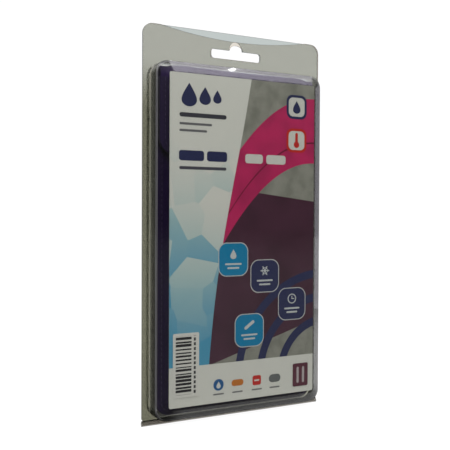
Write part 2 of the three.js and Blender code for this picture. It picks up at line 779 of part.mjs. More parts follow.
// Inner pouch
const quiltColumns = gelChannels * channelColumns;
const quiltShares = Array.from({ length: quiltColumns - 1 }, (_, i) => 2 * (i + 1) / quiltColumns - 1);
const pouchHeights = upPanel(pouchOutline, pouchPanelTop, panelRows);
const bandHeights = [pouchPanelTop + layerGap, pouchTop];
const liningLevel = (x, z) => halfSeamGap + (liningInner - halfSeamGap) * pouchSwell(x, z);
const skinLevel = (x, z) => {
  const full = skinInner - quiltDip * (1 - quilt(x));
  return skinSeamInner + (full - skinSeamInner) * pouchSwell(x, z);
};
for (const [place, side] of [['back', 1], ['front', -1]]) {
  const pouchPanel = { outline: pouchOutline, heights: pouchHeights, middleShares: evenShares, side };
  add(`pouch_${place}_skin`, panel({
    ...pouchPanel, middleShares: quiltShares, inner: skinLevel, thickness: skinThickness,
  }), 'pouch');
  add(`pouch_${place}_lining`, panel({
    ...pouchPanel, inner: liningLevel, thickness: liningThickness,
  }), 'pouch');
  add(`pouch_${place}_band`, panel({
    ...pouchPanel, heights: bandHeights, inner: liningLevel, thickness: mouthBandThickness,
  }), 'tape');
  for (let index = 0; index < gelChannels; index += 1) {
    add(`gel_${place}_${index + 1}`, gelPillow(index, side), 'gel');
  }
}
add('pouch_binding', bindingTape({
  path: sewnPath(pouchHalf, pouchLow, pouchPanelTop, pouchCorner),
  faceLevel: skinSeamOuter,
  thickness: pouchTapeThickness,
  leg: pouchTapeLeg,
}), 'tape');

// Flap and its touch fastener
add('flap', foldedFlap(), 'cover');
const flapMiddle = flapInner + halfFlapThickness;
add('flap_binding', bindingTape({
  path: sewnPath(halfFlap, flapEnd, coverTop, flapCorner),
  faceLevel: halfFlapThickness,
  thickness: tapeThickness,
  leg: tapeLeg,
  surface: (x) => -(flapMiddle - flapFall(x)),
}), 'tape');
const stripLow = flapEnd + stripFromFlapEnd;
const stripShape = roundedShape(-halfStrip, halfStrip, stripLow, stripLow + stripHeight, stripCorner);
const loopBack = walletMiddle - coverOuter - layerGap;
const hookBack = loopBack - stripThickness - layerGap;
add('loop_strip', plate(stripShape, loopBack, stripThickness), 'hook');
add('hook_strip', plate(stripShape, hookBack, stripThickness), 'hook');

export default pack;
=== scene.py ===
"""Looks of a two-pen cooling wallet behind its printed card, in a clear folded pack with a hanging slot.

Sizes are in millimetres until a mesh is made. +X is to the right, the window faces -Y, and +Z is up.
The origin is the top of the hanging slot, on the plane where the two halves of the pack meet.
"""

import logging
import math
from collections.abc import Callable, Sequence
from dataclasses import dataclass, field
from enum import Enum

import bmesh
import bpy
import numpy as np
from mathutils import Matrix, Vector


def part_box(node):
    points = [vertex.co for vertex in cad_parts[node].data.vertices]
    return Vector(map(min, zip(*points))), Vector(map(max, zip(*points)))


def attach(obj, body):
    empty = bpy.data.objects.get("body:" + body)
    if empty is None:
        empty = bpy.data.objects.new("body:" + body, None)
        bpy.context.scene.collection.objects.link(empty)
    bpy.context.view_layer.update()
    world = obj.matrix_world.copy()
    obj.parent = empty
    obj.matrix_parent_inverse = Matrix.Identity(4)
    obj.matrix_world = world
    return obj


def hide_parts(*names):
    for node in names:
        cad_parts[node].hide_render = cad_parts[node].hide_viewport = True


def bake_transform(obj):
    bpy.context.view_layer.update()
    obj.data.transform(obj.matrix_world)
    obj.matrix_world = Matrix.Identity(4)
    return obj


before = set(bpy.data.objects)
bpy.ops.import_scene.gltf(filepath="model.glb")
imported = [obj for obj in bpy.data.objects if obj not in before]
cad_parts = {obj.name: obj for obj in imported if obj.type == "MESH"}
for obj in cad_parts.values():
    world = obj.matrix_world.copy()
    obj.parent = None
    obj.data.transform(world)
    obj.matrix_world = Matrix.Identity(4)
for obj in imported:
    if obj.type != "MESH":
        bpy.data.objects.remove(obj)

LOG = logging.getLogger("cooling_wallet")
MM = 0.001
WELD = 0.002
CLOTH_FRAMES = 20
Array = np.ndarray
Colour = tuple[float, float, float]
Span = tuple[float, float]
Piece = bpy.types.Object
Material = bpy.types.Material
Socket = bpy.types.NodeSocket


class Side(Enum):
    """The two sides of the wallet's middle plane, as the sign of Y."""

    FRONT = -1
    BACK = 1


class Body(Enum):
    """The moving bodies of the frame."""

    PACK_REAR = "pack_rear"
    PACK_FRONT = "pack_front"
    WALLET = "wallet"
    FLAP = "wallet_flap"
    POUCH = "pouch"


class Slot(Enum):
    """The material slots of the record."""

    CLEAR = "clear_plastic"
    CARD = "printed_card"
    WHITE_LABEL = "white_label"
    PLUM_LABEL = "plum_label"
    PAPER = "leaflet_paper"
    COVER = "cover_fabric"
    TAPE = "binding_tape"
    FASTENER = "touch_fastener"
    POUCH = "pouch_fabric"
    GEL = "gel_crystals"


@dataclass(frozen=True)
class Extent:
    """Lowest and highest corner of a node at rest, in millimetres."""

    low: Array
    high: Array

    @classmethod
    def of(cls, node: str) -> "Extent":
        """Reads a node's corners from the frame.

        Args:
            node: name of the node.

        Returns:
            The node's extent.
        """
        low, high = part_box(node)
        return cls(np.array(low) / MM, np.array(high) / MM)

    @property
    def half_width(self) -> float:
        """Half of the width along X."""
        return float(self.high[0] - self.low[0]) / 2

    @property
    def foot(self) -> float:
        """Its lowest Z."""
        return float(self.low[2])

    @property
    def top(self) -> float:
        """Its highest Z."""
        return float(self.high[2])

    @property
    def middle(self) -> Array:
        """The point midway between the two corners."""
        return (self.low + self.high) / 2


def extent_of(node: str) -> Extent:
    """A field that holds a node's extent."""
    return field(default_factory=lambda: Extent.of(node))


# Curves and surfaces as arrays


def rounded_loop(
    left: float | Array, right: float | Array, low: float | Array, high: float | Array,
    radius: float | Array, steps: int = 10,
) -> Array:
    """Rounded rectangles in X and Z: four quarter circles, each joined to the next by a straight side.

    Args:
        left: lowest X, or one for each of several loops, as for the next four.
        right: highest X.
        low: lowest Z.
        high: highest Z.
        radius: radius of the corners.
        steps: steps in each quarter circle.

    Returns:
        Points of each closed loop, anticlockwise seen from the front.
    """
    turn = (np.arange(4)[:, None] + np.linspace(0, 1, steps + 1)) * np.pi / 2
    across = np.stack([right - radius, left + radius, left + radius, right - radius], axis=-1)[..., None]
    up = np.stack([high - radius, high - radius, low + radius, low + radius], axis=-1)[..., None]
    bend = np.asarray(radius)[..., None, None]
    points = np.stack([across + bend * np.cos(turn), up + bend * np.sin(turn)], axis=-1)
    return points.reshape(*points.shape[:-3], -1, 2)


def arc_corner(before: Array, corner: Array, after: Array, radius: float, steps: int) -> Array:
    """A circular fillet in a polyline's corner: it turns evenly from one tangent point to the other.

    Args:
        before: the point before the corner.
        corner: the corner itself.
        after: the point after it.
        radius: the fillet's radius.
        steps: steps along the arc.

    Returns:
        Points of the arc.
    """
    back = (before - corner) / np.linalg.norm(before - corner)
    ahead = (after - corner) / np.linalg.norm(after - corner)
    half_angle = np.arccos(np.clip(back @ ahead, -1, 1)) / 2
    bisector = (back + ahead) / np.linalg.norm(back + ahead)
    centre = corner + bisector * radius / np.sin(half_angle)
    start = corner + back * radius / np.tan(half_angle) - centre
    end = corner + ahead * radius / np.tan(half_angle) - centre
    sweep = np.pi - 2 * half_angle
    share = np.linspace(0, 1, steps + 1)[:, None]
    return centre + (np.sin((1 - share) * sweep) * start + np.sin(share * sweep) * end) / np.sin(sweep)


def filleted(corners: Sequence[tuple[float, float]], radii: Sequence[float], steps: int = 5) -> Array:
    """A polyline whose inner corners are rounded, each by its own radius.

    Args:
        corners: the polyline's corners.
        radii: one radius for each inner corner.
        steps: steps in each fillet.

    Returns:
        Points of the polyline.
    """
    points = np.array(corners, float)
    arcs = [
        arc_corner(points[i], points[i + 1], points[i + 2], radius, steps) for i, radius in enumerate(radii)
    ]
    return np.concatenate([points[:1], *arcs, points[-1:]])


def arc_lengths(points: Array) -> Array:
    """Distance along a polyline at each of its points."""
    steps = np.linalg.norm(np.diff(points, axis=0), axis=-1)
    return np.concatenate([[0.0], np.cumsum(steps)])


def smooth_step(value: Array, start: float, end: float) -> Array:
    """A smooth climb from 0 at start to 1 at end."""
    share = np.clip((value - start) / (end - start), 0, 1)
    return share * share * (3 - 2 * share)


def signed_power(value: Array, power: float | Array) -> Array:
    """A power of a value's size, with the value's own sign."""
    return np.sign(value) * np.abs(value) ** power


def front_mapped(x: Array, y: Array, z: Array) -> tuple[Array, Array]:
    """A sheet's points, and its pattern coordinates as seen from the front."""
    return np.stack([x, y, z], axis=-1), np.stack([x, z], axis=-1)


class Patchwork:
    """Surface patches in millimetres, joined along their shared edges into one mesh."""

    def __init__(self) -> None:
        """Starts with no patches."""
        self.points: list[Array] = []
        self.uvs: list[Array] = []
        self.faces: list[list[list[int]]] = []
        self.slots: list[Array] = []
        self.count = 0

    def add(self, points: Array, uv: Array, faces: Array, slot: int = 0) -> None:
        """Adds one patch.

        Args:
            points: its points, one a row.
            uv: its pattern coordinates in millimetres, one pair a point.
            faces: corner numbers of its faces within the patch.
            slot: its material's number on the piece.
        """
        self.points.append(points.reshape(-1, 3))
        self.uvs.append(uv.reshape(-1, 2))
        self.faces.append((faces + self.count).tolist())
        self.slots.append(np.full(len(faces), slot))
        self.count += len(self.points[-1])

    def grid(self, points: Array, uv: Array | None = None, closed: bool = False, slot: int = 0) -> None:
        """Adds a grid of rows by columns.

        Args:
            points: the grid's points, rows by columns by 3.
            uv: pattern coordinates in millimetres; X and Z where none are given.
            closed: whether the last column joins the first.
            slot: its material's number on the piece.
        """
        rows, columns = points.shape[:2]
        index = np.arange(rows * columns).reshape(rows, columns)
        index = np.hstack([index, index[:, :1]]) if closed else index
        corners = [index[:-1, :-1], index[:-1, 1:], index[1:, 1:], index[1:, :-1]]
        uv = points[..., [0, 2]] if uv is None else uv
        self.add(points, uv, np.stack(corners, -1).reshape(-1, 4), slot)

    def fill(self, loops: Sequence[Array], depth: float, slot: int = 0) -> None:
        """Fills the flat region between an outer loop and the holes in it.

        Args:
            loops: closed loops in X and Z, the outer one first.
            depth: the region's Y.
            slot: its material's number on the piece.
        """
        flat = np.concatenate(loops)
        starts = np.cumsum([0, *map(len, loops[:-1])])
        edges = [
            np.stack([np.arange(len(loop)), np.roll(np.arange(len(loop)), -1)], axis=1) + start
            for loop, start in zip(loops, starts)
        ]
        points = np.stack([flat[:, 0], np.full(len(flat), depth), flat[:, 1]], axis=1)
        outline = bpy.data.meshes.new("outline")
        outline.from_pydata(points.tolist(), np.concatenate(edges).tolist(), [])
        work = bmesh.new()
        work.from_mesh(outline)
        bmesh.ops.triangle_fill(work, use_beauty=True, edges=work.edges[:])
        faces = np.array([[vertex.index for vertex in face.verts] for face in work.faces])
        work.free()
        bpy.data.meshes.remove(outline)
        self.add(points, flat, faces, slot)

    def slab(self, loop: Array, front: float, back: float, rest: int = 0) -> None:
        """Adds a flat plate of an outline, closed all round.

        Args:
            loop: its outline in X and Z.
            front: Y of its front face.
            back: Y of its back face.
            rest: number of the material on all but its front face.
        """
        self.fill([loop], front)
        self.fill([loop], back, rest)
        wall = np.stack([np.insert(loop, 1, depth, axis=1) for depth in (front, back)])
        self.grid(wall, closed=True, slot=rest)

    def build(
        self,
        name: str,
        materials: Sequence[Material],
        towards: tuple[float, float, float] | None = None,
        crease: float = 40,
    ) -> Piece:
        """Welds the patches into one smooth-shaded object at the origin.

        Args:
            name: the piece's name.
            materials: its materials, by number.
            towards: for an open surface, the way that most of its outer face looks.
            crease: angle in degrees past which an edge stays sharp.

        Returns:
            The new object.
        """
        mesh = bpy.data.meshes.new(name)
        faces = [face for patch in self.faces for face in patch]
        mesh.from_pydata((np.concatenate(self.points) * MM).tolist(), [], faces)
        corners = np.empty(len(mesh.loops), np.int32)
        mesh.loops.foreach_get("vertex_index", corners)
        layer = mesh.uv_layers.new(name="pattern")
        layer.data.foreach_set("uv", np.concatenate(self.uvs)[corners].astype(np.float32).ravel())
        mesh.polygons.foreach_set("material_index", np.concatenate(self.slots).astype(np.int32))
        work = bmesh.new()
        work.from_mesh(mesh)
        bmesh.ops.remove_doubles(work, verts=work.verts[:], dist=WELD * MM)
        bmesh.ops.dissolve_degenerate(work, edges=work.edges[:], dist=WELD * MM)
        bmesh.ops.recalc_face_normals(work, faces=work.faces[:])
        lean = sum((face.normal * face.calc_area() for face in work.faces), Vector())
        if towards is not None and lean.dot(Vector(towards)) < 0:
            bmesh.ops.reverse_faces(work, faces=work.faces[:])
        work.to_mesh(mesh)
        work.free()
        mesh.shade_smooth()
        mesh.set_sharp_from_angle(angle=math.radians(crease))
        for material in materials:
            mesh.materials.append(material)
        piece = bpy.data.objects.new(name, mesh)
        bpy.context.scene.collection.objects.link(piece)
        return piece


def thicken(
    piece: Piece, thickness: float, rim_slot: int = 0, levels: int = 0, crease: float = 50
) -> Piece:
    """Gives an open surface its wall, inwards from the modelled face, and marks the wall's sharp edges.

    Args:
        piece: the surface.
        thickness: the wall's thickness in millimetres.
        rim_slot: how many materials on the rim's one is.
        levels: levels of subdivision before the wall is added.
        crease: angle in degrees past which an edge stays sharp.

    Returns:
        The same object.
    """
    if levels:
        subdivision = piece.modifiers.new("Smooth", "SUBSURF")
        subdivision.levels = subdivision.render_levels = levels
    wall = piece.modifiers.new("Wall", "SOLIDIFY")
    wall.thickness = thickness * MM
    wall.offset = -1
    wall.use_even_offset = True
    wall.material_offset_rim = rim_slot
    bpy.context.view_layer.update()
    shapes = bpy.context.evaluated_depsgraph_get()
    mesh = bpy.data.meshes.new_from_object(
        piece.evaluated_get(shapes), preserve_all_data_layers=True, depsgraph=shapes
    )
    bare, piece.data = piece.data, mesh
    piece.modifiers.clear()
    bpy.data.meshes.remove(bare)
    mesh.name = piece.name
    mesh.set_sharp_from_angle(angle=math.radians(crease))
    return piece


def settle_cloth(grid: Array, sewn: Array, pressure: float, growth: float, cap: float) -> Array:
    """Lets a sewn-down sheet swell and pucker under pressure, by a short cloth simulation.

    Args:
        grid: the sheet's points in millimetres, rows by columns by 3.
        sewn: how firmly each point is held, from 0 to 1, rows by columns.
        pressure: pressure on the sheet's outer face.
        growth: share by which the cloth is larger than its place, which puckers it.
        cap: furthest that a point may move, in millimetres.

    Returns:
        The settled grid.
    """
    rows, columns = grid.shape[:2]
    patch = Patchwork()
    patch.grid(grid)
    mesh = bpy.data.meshes.new("cloth_work")
    mesh.from_pydata((patch.points[0] * MM).tolist(), [], patch.faces[0])
    cloth = bpy.data.objects.new("cloth_work", mesh)
    scene = bpy.context.scene
    scene.collection.objects.link(cloth)
    group = cloth.vertex_groups.new(name="sewn")
    held = sewn.ravel()
    for weight in np.unique(held):
        group.add(np.flatnonzero(held == weight).tolist(), float(weight), "REPLACE")
    modifier = cloth.modifiers.new("Cloth", "CLOTH")
    settings = modifier.settings
    settings.quality = 6
    settings.mass = 0.05
    settings.tension_stiffness = settings.compression_stiffness = 8
    settings.shear_stiffness = 3
    settings.bending_stiffness = 0.05
    settings.vertex_group_mass = "sewn"
    settings.pin_stiffness = 1
    settings.shrink_min = -growth
    settings.use_pressure = True
    settings.uniform_pressure_force = pressure
    settings.effector_weights.gravity = 0
    modifier.collision_settings.use_collision = False
    for number in range(1, CLOTH_FRAMES + 1):
        scene.frame_set(number)
    settled = cloth.evaluated_get(bpy.context.evaluated_depsgraph_get()).to_mesh()
    moved = np.empty(3 * rows * columns, np.float32)
    settled.vertices.foreach_get("co", moved)
    moved = moved.reshape(grid.shape).astype(float) / MM - grid
    reach = np.linalg.norm(moved, axis=-1, keepdims=True)
    moved = np.nan_to_num(moved * np.minimum(1, cap / np.maximum(reach, WELD)))
    bpy.data.objects.remove(cloth)
    bpy.data.meshes.remove(mesh)
    scene.frame_set(1)
    LOG.info("cloth settled by up to %.2f mm", float(reach.max()))
    return grid + moved * (1 - sewn[..., None])


# Nodes of a material


class Nodes:
    """Short ways to add and join the nodes of a new material or world."""

    def __init__(self, name: str, world: bool = False) -> None:
        """Starts one without nodes.

        Args:
            name: its name.
            world: whether it is a world.
        """
        self.owner = (bpy.data.worlds if world else bpy.data.materials).new(name)
        self.owner.use_nodes = True
        self.tree = self.owner.node_tree
        self.tree.nodes.clear()

    def add(self, kind: str, inputs: dict | None = None, **settings: object) -> bpy.types.Node:
        """Adds a node.

        Args:
            kind: the node's type, without its ShaderNode prefix.
            inputs: values or sockets by input name or number.
            settings: the node's own properties.

        Returns:
            The node.
        """
        node = self.tree.nodes.new("ShaderNode" + kind)
        for key, value in settings.items():
            setattr(node, key, value)
        for key, value in (inputs or {}).items():
            if isinstance(value, Socket):
                self.tree.links.new(value, node.inputs[key])
            elif isinstance(value, tuple) and len(value) == 3 and node.inputs[key].type == "RGBA":
                node.inputs[key].default_value = (*value, 1)
            else:
                node.inputs[key].default_value = value
        return node

    def math(
        self, operation: str, first: object, second: object = 0.0, third: object = 0.0, clamp: bool = False
    ) -> Socket:
        """The result of a Math node on up to three values or sockets."""
        inputs = {0: first, 1: second, 2: third}
        return self.add("Math", inputs, operation=operation, use_clamp=clamp).outputs[0]

    def vector(self, operation: str, first: object, second: object = (0, 0, 0)) -> Socket:
        """The result of a Vector Math node on two vectors or sockets."""
        return self.add("VectorMath", {0: first, 1: second}, operation=operation).outputs[0]

    def distance(self, first: object, second: object = (0, 0, 0)) -> Socket:
        """The distance between two points."""
        return self.add("VectorMath", {0: first, 1: second}, operation="DISTANCE").outputs["Value"]

    def split(self, vector: object) -> Sequence[Socket]:
        """X, Y and Z of a vector."""
        return self.add("SeparateXYZ", {0: vector}).outputs

    def ramp(
        self, value: object, start: object, end: object, low: float = 0.0, high: float = 1.0
    ) -> Socket:
        """A smooth climb of a value from low at start to high at end."""
        inputs = {"Value": value, "From Min": start, "From Max": end, "To Min": low, "To Max": high}
        return self.add("MapRange", inputs, interpolation_type="SMOOTHSTEP").outputs[0]

    def mix(self, share: object, first: object, second: object, blend: str = "MIX") -> Socket:
        """A colour between two, plain ones or sockets, with a share of the second."""
        inputs = {0: share, 6: first, 7: second}
        return self.add("Mix", inputs, data_type="RGBA", blend_type=blend).outputs[2]

    def place(self) -> Socket:
        """The point on the piece, in millimetres."""
        inputs = {0: self.add("TexCoord").outputs["Object"], "Scale": 1 / MM}
        return self.add("VectorMath", inputs, operation="SCALE").outputs[0]

    def pattern(self) -> Socket:
        """The piece's own pattern coordinates, in millimetres."""
        return self.add("UVMap", uv_map="pattern").outputs[0]

    def noise(self, vector: object, size: float, detail: float = 2.0) -> Socket:
        """Noise whose lumps are about size millimetres across."""
        return self.add("TexNoise", {"Vector": vector, "Scale": 1 / size, "Detail": detail}).outputs["Fac"]

    def bump(self, height: object, depth: float, normal: object | None = None) -> Socket:
        """A normal bumped by a height of 0 to 1 over depth millimetres, on top of another normal."""
        inputs = {"Height": height, "Distance": depth * MM, "Strength": 1.0}
        return self.add("Bump", inputs if normal is None else {**inputs, "Normal": normal}).outputs[0]

    def facing(self) -> Socket:
        """0 where the surface is seen head on, 1 where it is seen edge on."""
        return self.add("LayerWeight", {"Blend": 0.5}).outputs["Facing"]

    def finish(self, surface: Socket) -> Material:
        """Joins a shader to the output and hands the material over."""
        self.add("OutputMaterial", {"Surface": surface})
        return self.owner

    def principled(self, **inputs: object) -> Material:
        """Finishes the material with a Principled shader, whose inputs are named with _ for a space."""
        named = {key.replace("_", " "): value for key, value in inputs.items()}
        return self.finish(self.add("BsdfPrincipled", named).outputs[0])


@dataclass(frozen=True)
class ClearSheet:
    """Clear thermoformed sheet: tinted see-through with a mirror film whose strength follows Schlick's curve.

    Each face passes the root of what the whole sheet passes. The tint deepens where the sheet is seen edge
    on, and it is lightest on the flat face that was drawn deepest. Its lighter header and the lighter walls
    near the hollow's top are painted light; its darker flange, dark side walls and the darker strip along the
    hollow's foot are painted shade. Where the sheet is bent it is whitened by strain, so each bend has a haze
    of its own; the haze also stands in for the light line along the bend, a painted highlight.
    """

    name: str
    # The header's tint is lighter than the flange's: painted light. The foot, wall and low wall tints are
    # darker: painted shade.
    head: Colour = (0.80, 0.75, 0.675)
    flange: Colour = (0.42, 0.42, 0.355)
    foot: Colour = (0.15, 0.15, 0.125)
    wall: Colour = (0.035, 0.035, 0.029)
    window: Colour = (0.80, 0.80, 0.77)
    bevel: Colour = (0.66, 0.66, 0.66)
    shaded_low_wall: Colour = (0.035, 0.035, 0.029)
    window_span: Span = (11.6, 13.2)
    foot_span: Span = (0.6, 1.3)
    wall_to: float = 6.5
    drawn_span: Span = (2.0, 6.0)
    bevel_span: Span = (9.0, 9.5)
    deepening: float = 1.0
    # Spans of height: the lighter walls near the hollow's top are painted light; the darker strip along the
    # foot and the window's foot edge are painted shade.
    lit_top_span: Span = (-24.0, -19.0)
    shaded_low_span: Span = (-203.0, -208.0)
    shaded_rim_span: Span = (-208.8, -209.8)
    bends: tuple[tuple[float, float], ...] = ((9.1, 0.25),)
    # The bends' haze and its lavender colour: strain whitening, and a painted highlight line along each bend.
    bend_haze_and_highlight: float = 0.3
    bend_haze_highlight_colour: Colour = (0.62, 0.60, 0.66)
    mirror: float = 0.045
    roughness: float = 0.07
    haze: float = 0.004
    wall_haze: float = 0.0
    haze_colour: Colour = (0.36, 0.37, 0.31)
    lit_head_span: Span = (-48.0, -12.0)

    def tint(self, n: Nodes, depth: Socket, up: Socket) -> Socket:
        """What a face of the sheet lets through, by its depth and its height, with painted light and shade:
        lighter on the header and near the hollow's top, darker on the flange, down the side walls and along
        the foot.

        Args:
            n: the material's nodes.
            depth: distance from the plane where the halves meet.
            up: height along the pack.

        Returns:
            The colour's socket.
        """
        colours = (self.flange, self.head, self.wall, self.bevel, self.window, self.foot, self.shaded_low_wall)
        flange, head, wall, bevel, window, foot, low = (tuple(np.sqrt(colour).tolist()) for colour in colours)
        # Painted light: the header is lighter than the flange below it.
        flange = n.mix(n.ramp(up, *self.lit_head_span), flange, head)
        # Painted light near the hollow's top, where the walls take the bevel's lighter tint; painted shade
        # along its foot.
        ends = n.ramp(up, *self.lit_top_span)
        lows = n.ramp(up, *self.shaded_low_span)
        steep = n.mix(lows, n.mix(ends, wall, bevel), low)
        foot = n.mix(lows, n.mix(ends, foot, bevel), low)
        # Painted shade: the tint darkens through the foot fillet and down the side walls.
        tint = n.mix(n.ramp(depth, *self.foot_span), flange, foot)
        tint = n.mix(n.ramp(depth, self.foot_span[1], self.wall_to), tint, steep)
        tint = n.mix(n.ramp(depth, *self.bevel_span), tint, bevel)
        # Painted shade: the window's tint darkens along its foot.
        rim = n.mix(n.ramp(up, *self.shaded_rim_span), window, low)
        return n.mix(n.ramp(depth, *self.window_span), tint, rim)

    def material(self) -> Material:
        """Makes the material."""
        n = Nodes(self.name)
        place = n.place()
        _, y, up = n.split(place)
        depth = n.math("ABSOLUTE", y)
        tint = self.tint(n, depth, up)
        edge_on = n.facing()
        deep = n.math("MULTIPLY", n.math("POWER", edge_on, 2.5), self.deepening)
        tint = n.mix(deep, tint, n.mix(1.0, tint, tint, "MULTIPLY"))
        wobble = n.bump(n.noise(place, 26, 1), 0.15)
        schlick = n.math("MULTIPLY_ADD", n.math("POWER", edge_on, 5), 1 - self.mirror, self.mirror)
        clear = n.add("BsdfTransparent", {"Color": tint}).outputs[0]
        # Along each bend a pale diffuse haze: strain whitening, and also a painted highlight that stands in
        # for the light line along the bend.
        bent = 0.0
        for level, reach in self.bends:
            off = n.math("ABSOLUTE", n.math("SUBTRACT", depth, level))
            bent = n.math("MAXIMUM", bent, n.ramp(off, 0.5 * reach, reach, 1, 0))
        shade = n.mix(bent, self.haze_colour, self.bend_haze_highlight_colour)
        milk = n.add("BsdfDiffuse", {"Color": shade}).outputs[0]
        steep = n.ramp(depth, *self.bevel_span, 1, 0)
        drawn = n.math("MULTIPLY", n.ramp(depth, *self.drawn_span), steep)
        thin = n.math("MULTIPLY_ADD", drawn, self.wall_haze, self.haze)
        veil = n.math("MULTIPLY_ADD", bent, self.bend_haze_and_highlight, thin)
        body = n.add("MixShader", {0: veil, 1: clear, 2: milk}).outputs[0]
        mirror = n.add("BsdfGlossy", {"Roughness": self.roughness, "Normal": wobble}).outputs[0]
        return n.finish(n.add("MixShader", {0: schlick, 1: body, 2: mirror}).outputs[0])


@dataclass(frozen=True)
class CutEdge:
    """Cut edge of the clear sheet: it traps light, so it reads as a dark line with a gloss."""

    name: str = "cut_edge"
    colour: Colour = (0.06, 0.062, 0.05)
    solid: float = 0.55

    def material(self) -> Material:
        """Makes the material."""
        n = Nodes(self.name)
        clear = n.add("BsdfTransparent", {"Color": self.colour}).outputs[0]
        solid = n.add("BsdfPrincipled", {"Base Color": self.colour, "Roughness": 0.25}).outputs[0]
        grain = n.ramp(n.noise(n.place(), 4), 0.2, 0.8, self.solid - 0.1, self.solid + 0.1)
        return n.finish(n.add("MixShader", {0: grain, 1: clear, 2: solid}).outputs[0])


@dataclass(frozen=True)
class WovenCloth:
    """Plain-woven cloth: threads that pass over and under each other, with a soft sheen and mottling."""

    name: str
    warp: Colour
    weft: Colour
    thread: float = 0.42
    depth: float = 0.10
    roughness: float = 0.55
    sheen: float = 0.25
    sheen_tint: Colour = (0.55, 0.45, 0.85)
    mottle: float = 9.0
    wear: float = 0.25

    def material(self) -> Material:
        """Makes the material."""
        n = Nodes(self.name)
        pattern = n.pattern()
        axes = n.split(pattern)
        waves = [n.math("SINE", n.math("MULTIPLY", axis, math.pi / self.thread)) for axis in axes[:2]]
        over = n.math("MULTIPLY", waves[0], waves[1])
        height = n.math("ABSOLUTE", over)
        mottling = n.ramp(n.noise(n.place(), self.mottle, 3), 0.3, 0.7)
        weave = n.mix(n.ramp(over, -0.4, 0.4), self.warp, self.weft)
        lighter = n.mix(1.0, weave, (1.5, 1.45, 1.5), "MULTIPLY")
        colour = n.mix(n.math("MULTIPLY", mottling, self.wear), weave, lighter)
        fuzz = n.noise(n.place(), 0.25, 2)
        return n.principled(
            Base_Color=colour,
            Roughness=n.ramp(fuzz, 0.2, 0.8, self.roughness - 0.08, self.roughness + 0.08),
            Normal=n.bump(height, self.depth, n.bump(mottling, self.depth)),
            Sheen_Weight=self.sheen,
            Sheen_Roughness=0.35,
            Sheen_Tint=(*self.sheen_tint, 1),
        )


@dataclass(frozen=True)
class RibbedTape:
    """Ribbed tape: close ribs across its length, each a rounded thread, with painted shade in the grooves
    between them.
    """

    name: str = "ribbed_tape"
    colour: Colour = (0.030, 0.013, 0.075)
    rib: float = 0.75
    depth: float = 0.16

    def material(self) -> Material:
        """Makes the material."""
        n = Nodes(self.name)
        axes = n.split(n.pattern())
        rib = n.math("ABSOLUTE", n.math("SINE", n.math("MULTIPLY", axes[0], math.pi / self.rib)))
        speck = n.noise(n.place(), 0.6, 3)
        # Painted shade: the colour darkens in the grooves between the ribs.
        dark = tuple(0.45 * part for part in self.colour)
        colour = n.mix(n.ramp(rib, 0.0, 0.7), dark, self.colour)
        colour = n.mix(n.ramp(speck, 0.4, 0.8, 0, 0.3), colour, (0.09, 0.05, 0.16))
        return n.principled(
            Base_Color=colour,
            Roughness=n.ramp(speck, 0, 1, 0.5, 0.75),
            Normal=n.bump(rib, self.depth),
            Sheen_Weight=0.2,
            Sheen_Tint=(0.5, 0.42, 0.8, 1),
        )


@dataclass(frozen=True)
class TouchFastener:
    """Touch fastener: a field of small hooks in rows, or a mat of loops, with their tops painted lighter as a
    painted highlight.
    """

    name: str
    colour: Colour
    pitch: float
    depth: float
    hooked: bool

    def material(self) -> Material:
        """Makes the material."""
        n = Nodes(self.name)
        place = n.place()
        if self.hooked:
            axes = n.split(place)
            waves = [n.math("SINE", n.math("MULTIPLY", axes[i], 2 * math.pi / self.pitch)) for i in (0, 2)]
            height = n.ramp(n.math("MULTIPLY", waves[0], waves[1]), 0.1, 0.7)
        else:
            inputs = {"Vector": place, "Scale": 1 / self.pitch}
            cells = n.add("TexVoronoi", inputs, feature="SMOOTH_F1").outputs["Distance"]
            height = n.ramp(cells, 0.1, 0.8, 1, 0)
        # Painted highlight and shade: the raised hooks or loops are lighter, the gaps between them darker.
        pale = tuple(min(1.0, 3.2 * part + 0.01) for part in self.colour)
        return n.principled(
            Base_Color=n.mix(height, self.colour, pale),
            Roughness=n.ramp(height, 0, 1, 0.85, 0.45),
            Normal=n.bump(height, self.depth),
            Sheen_Weight=0.15,
        )


@dataclass(frozen=True)
class Paper:
    """Uncoated or coated paper with fibre mottling."""

    name: str
    colour: Colour
    roughness: float = 0.75
    fibre: float = 1.4
    relief: float = 0.02

    def material(self) -> Material:
        """Makes the material."""
        n = Nodes(self.name)
        fibres = n.noise(n.vector("MULTIPLY", n.place(), (1, 1, 0.35)), self.fibre, 4)
        shade = tuple(0.93 * part for part in self.colour)
        return n.principled(
            Base_Color=n.mix(fibres, shade, self.colour),
            Roughness=n.ramp(fibres, 0, 1, self.roughness - 0.05, self.roughness + 0.05),
            Normal=n.bump(fibres, self.relief),
        )


@dataclass(frozen=True)
class GelCrystals:
    """Dry gel crystals behind thin cloth: small glassy grains."""

    name: str = "gel_crystals"
    grain: float = 1.1

    def material(self) -> Material:
        """Makes the material."""
        n = Nodes(self.name)
        inputs = {"Vector": n.place(), "Scale": 1 / self.grain}
        cells = n.add("TexVoronoi", inputs)
        height = n.ramp(cells.outputs["Distance"], 0.0, 0.7, 1, 0)
        tone = n.split(cells.outputs["Color"])[0]
        return n.principled(
            Base_Color=n.mix(tone, (0.62, 0.65, 0.62), (0.86, 0.87, 0.84)),
            Roughness=n.ramp(tone, 0, 1, 0.18, 0.4),
            Normal=n.bump(height, 0.4),
        )


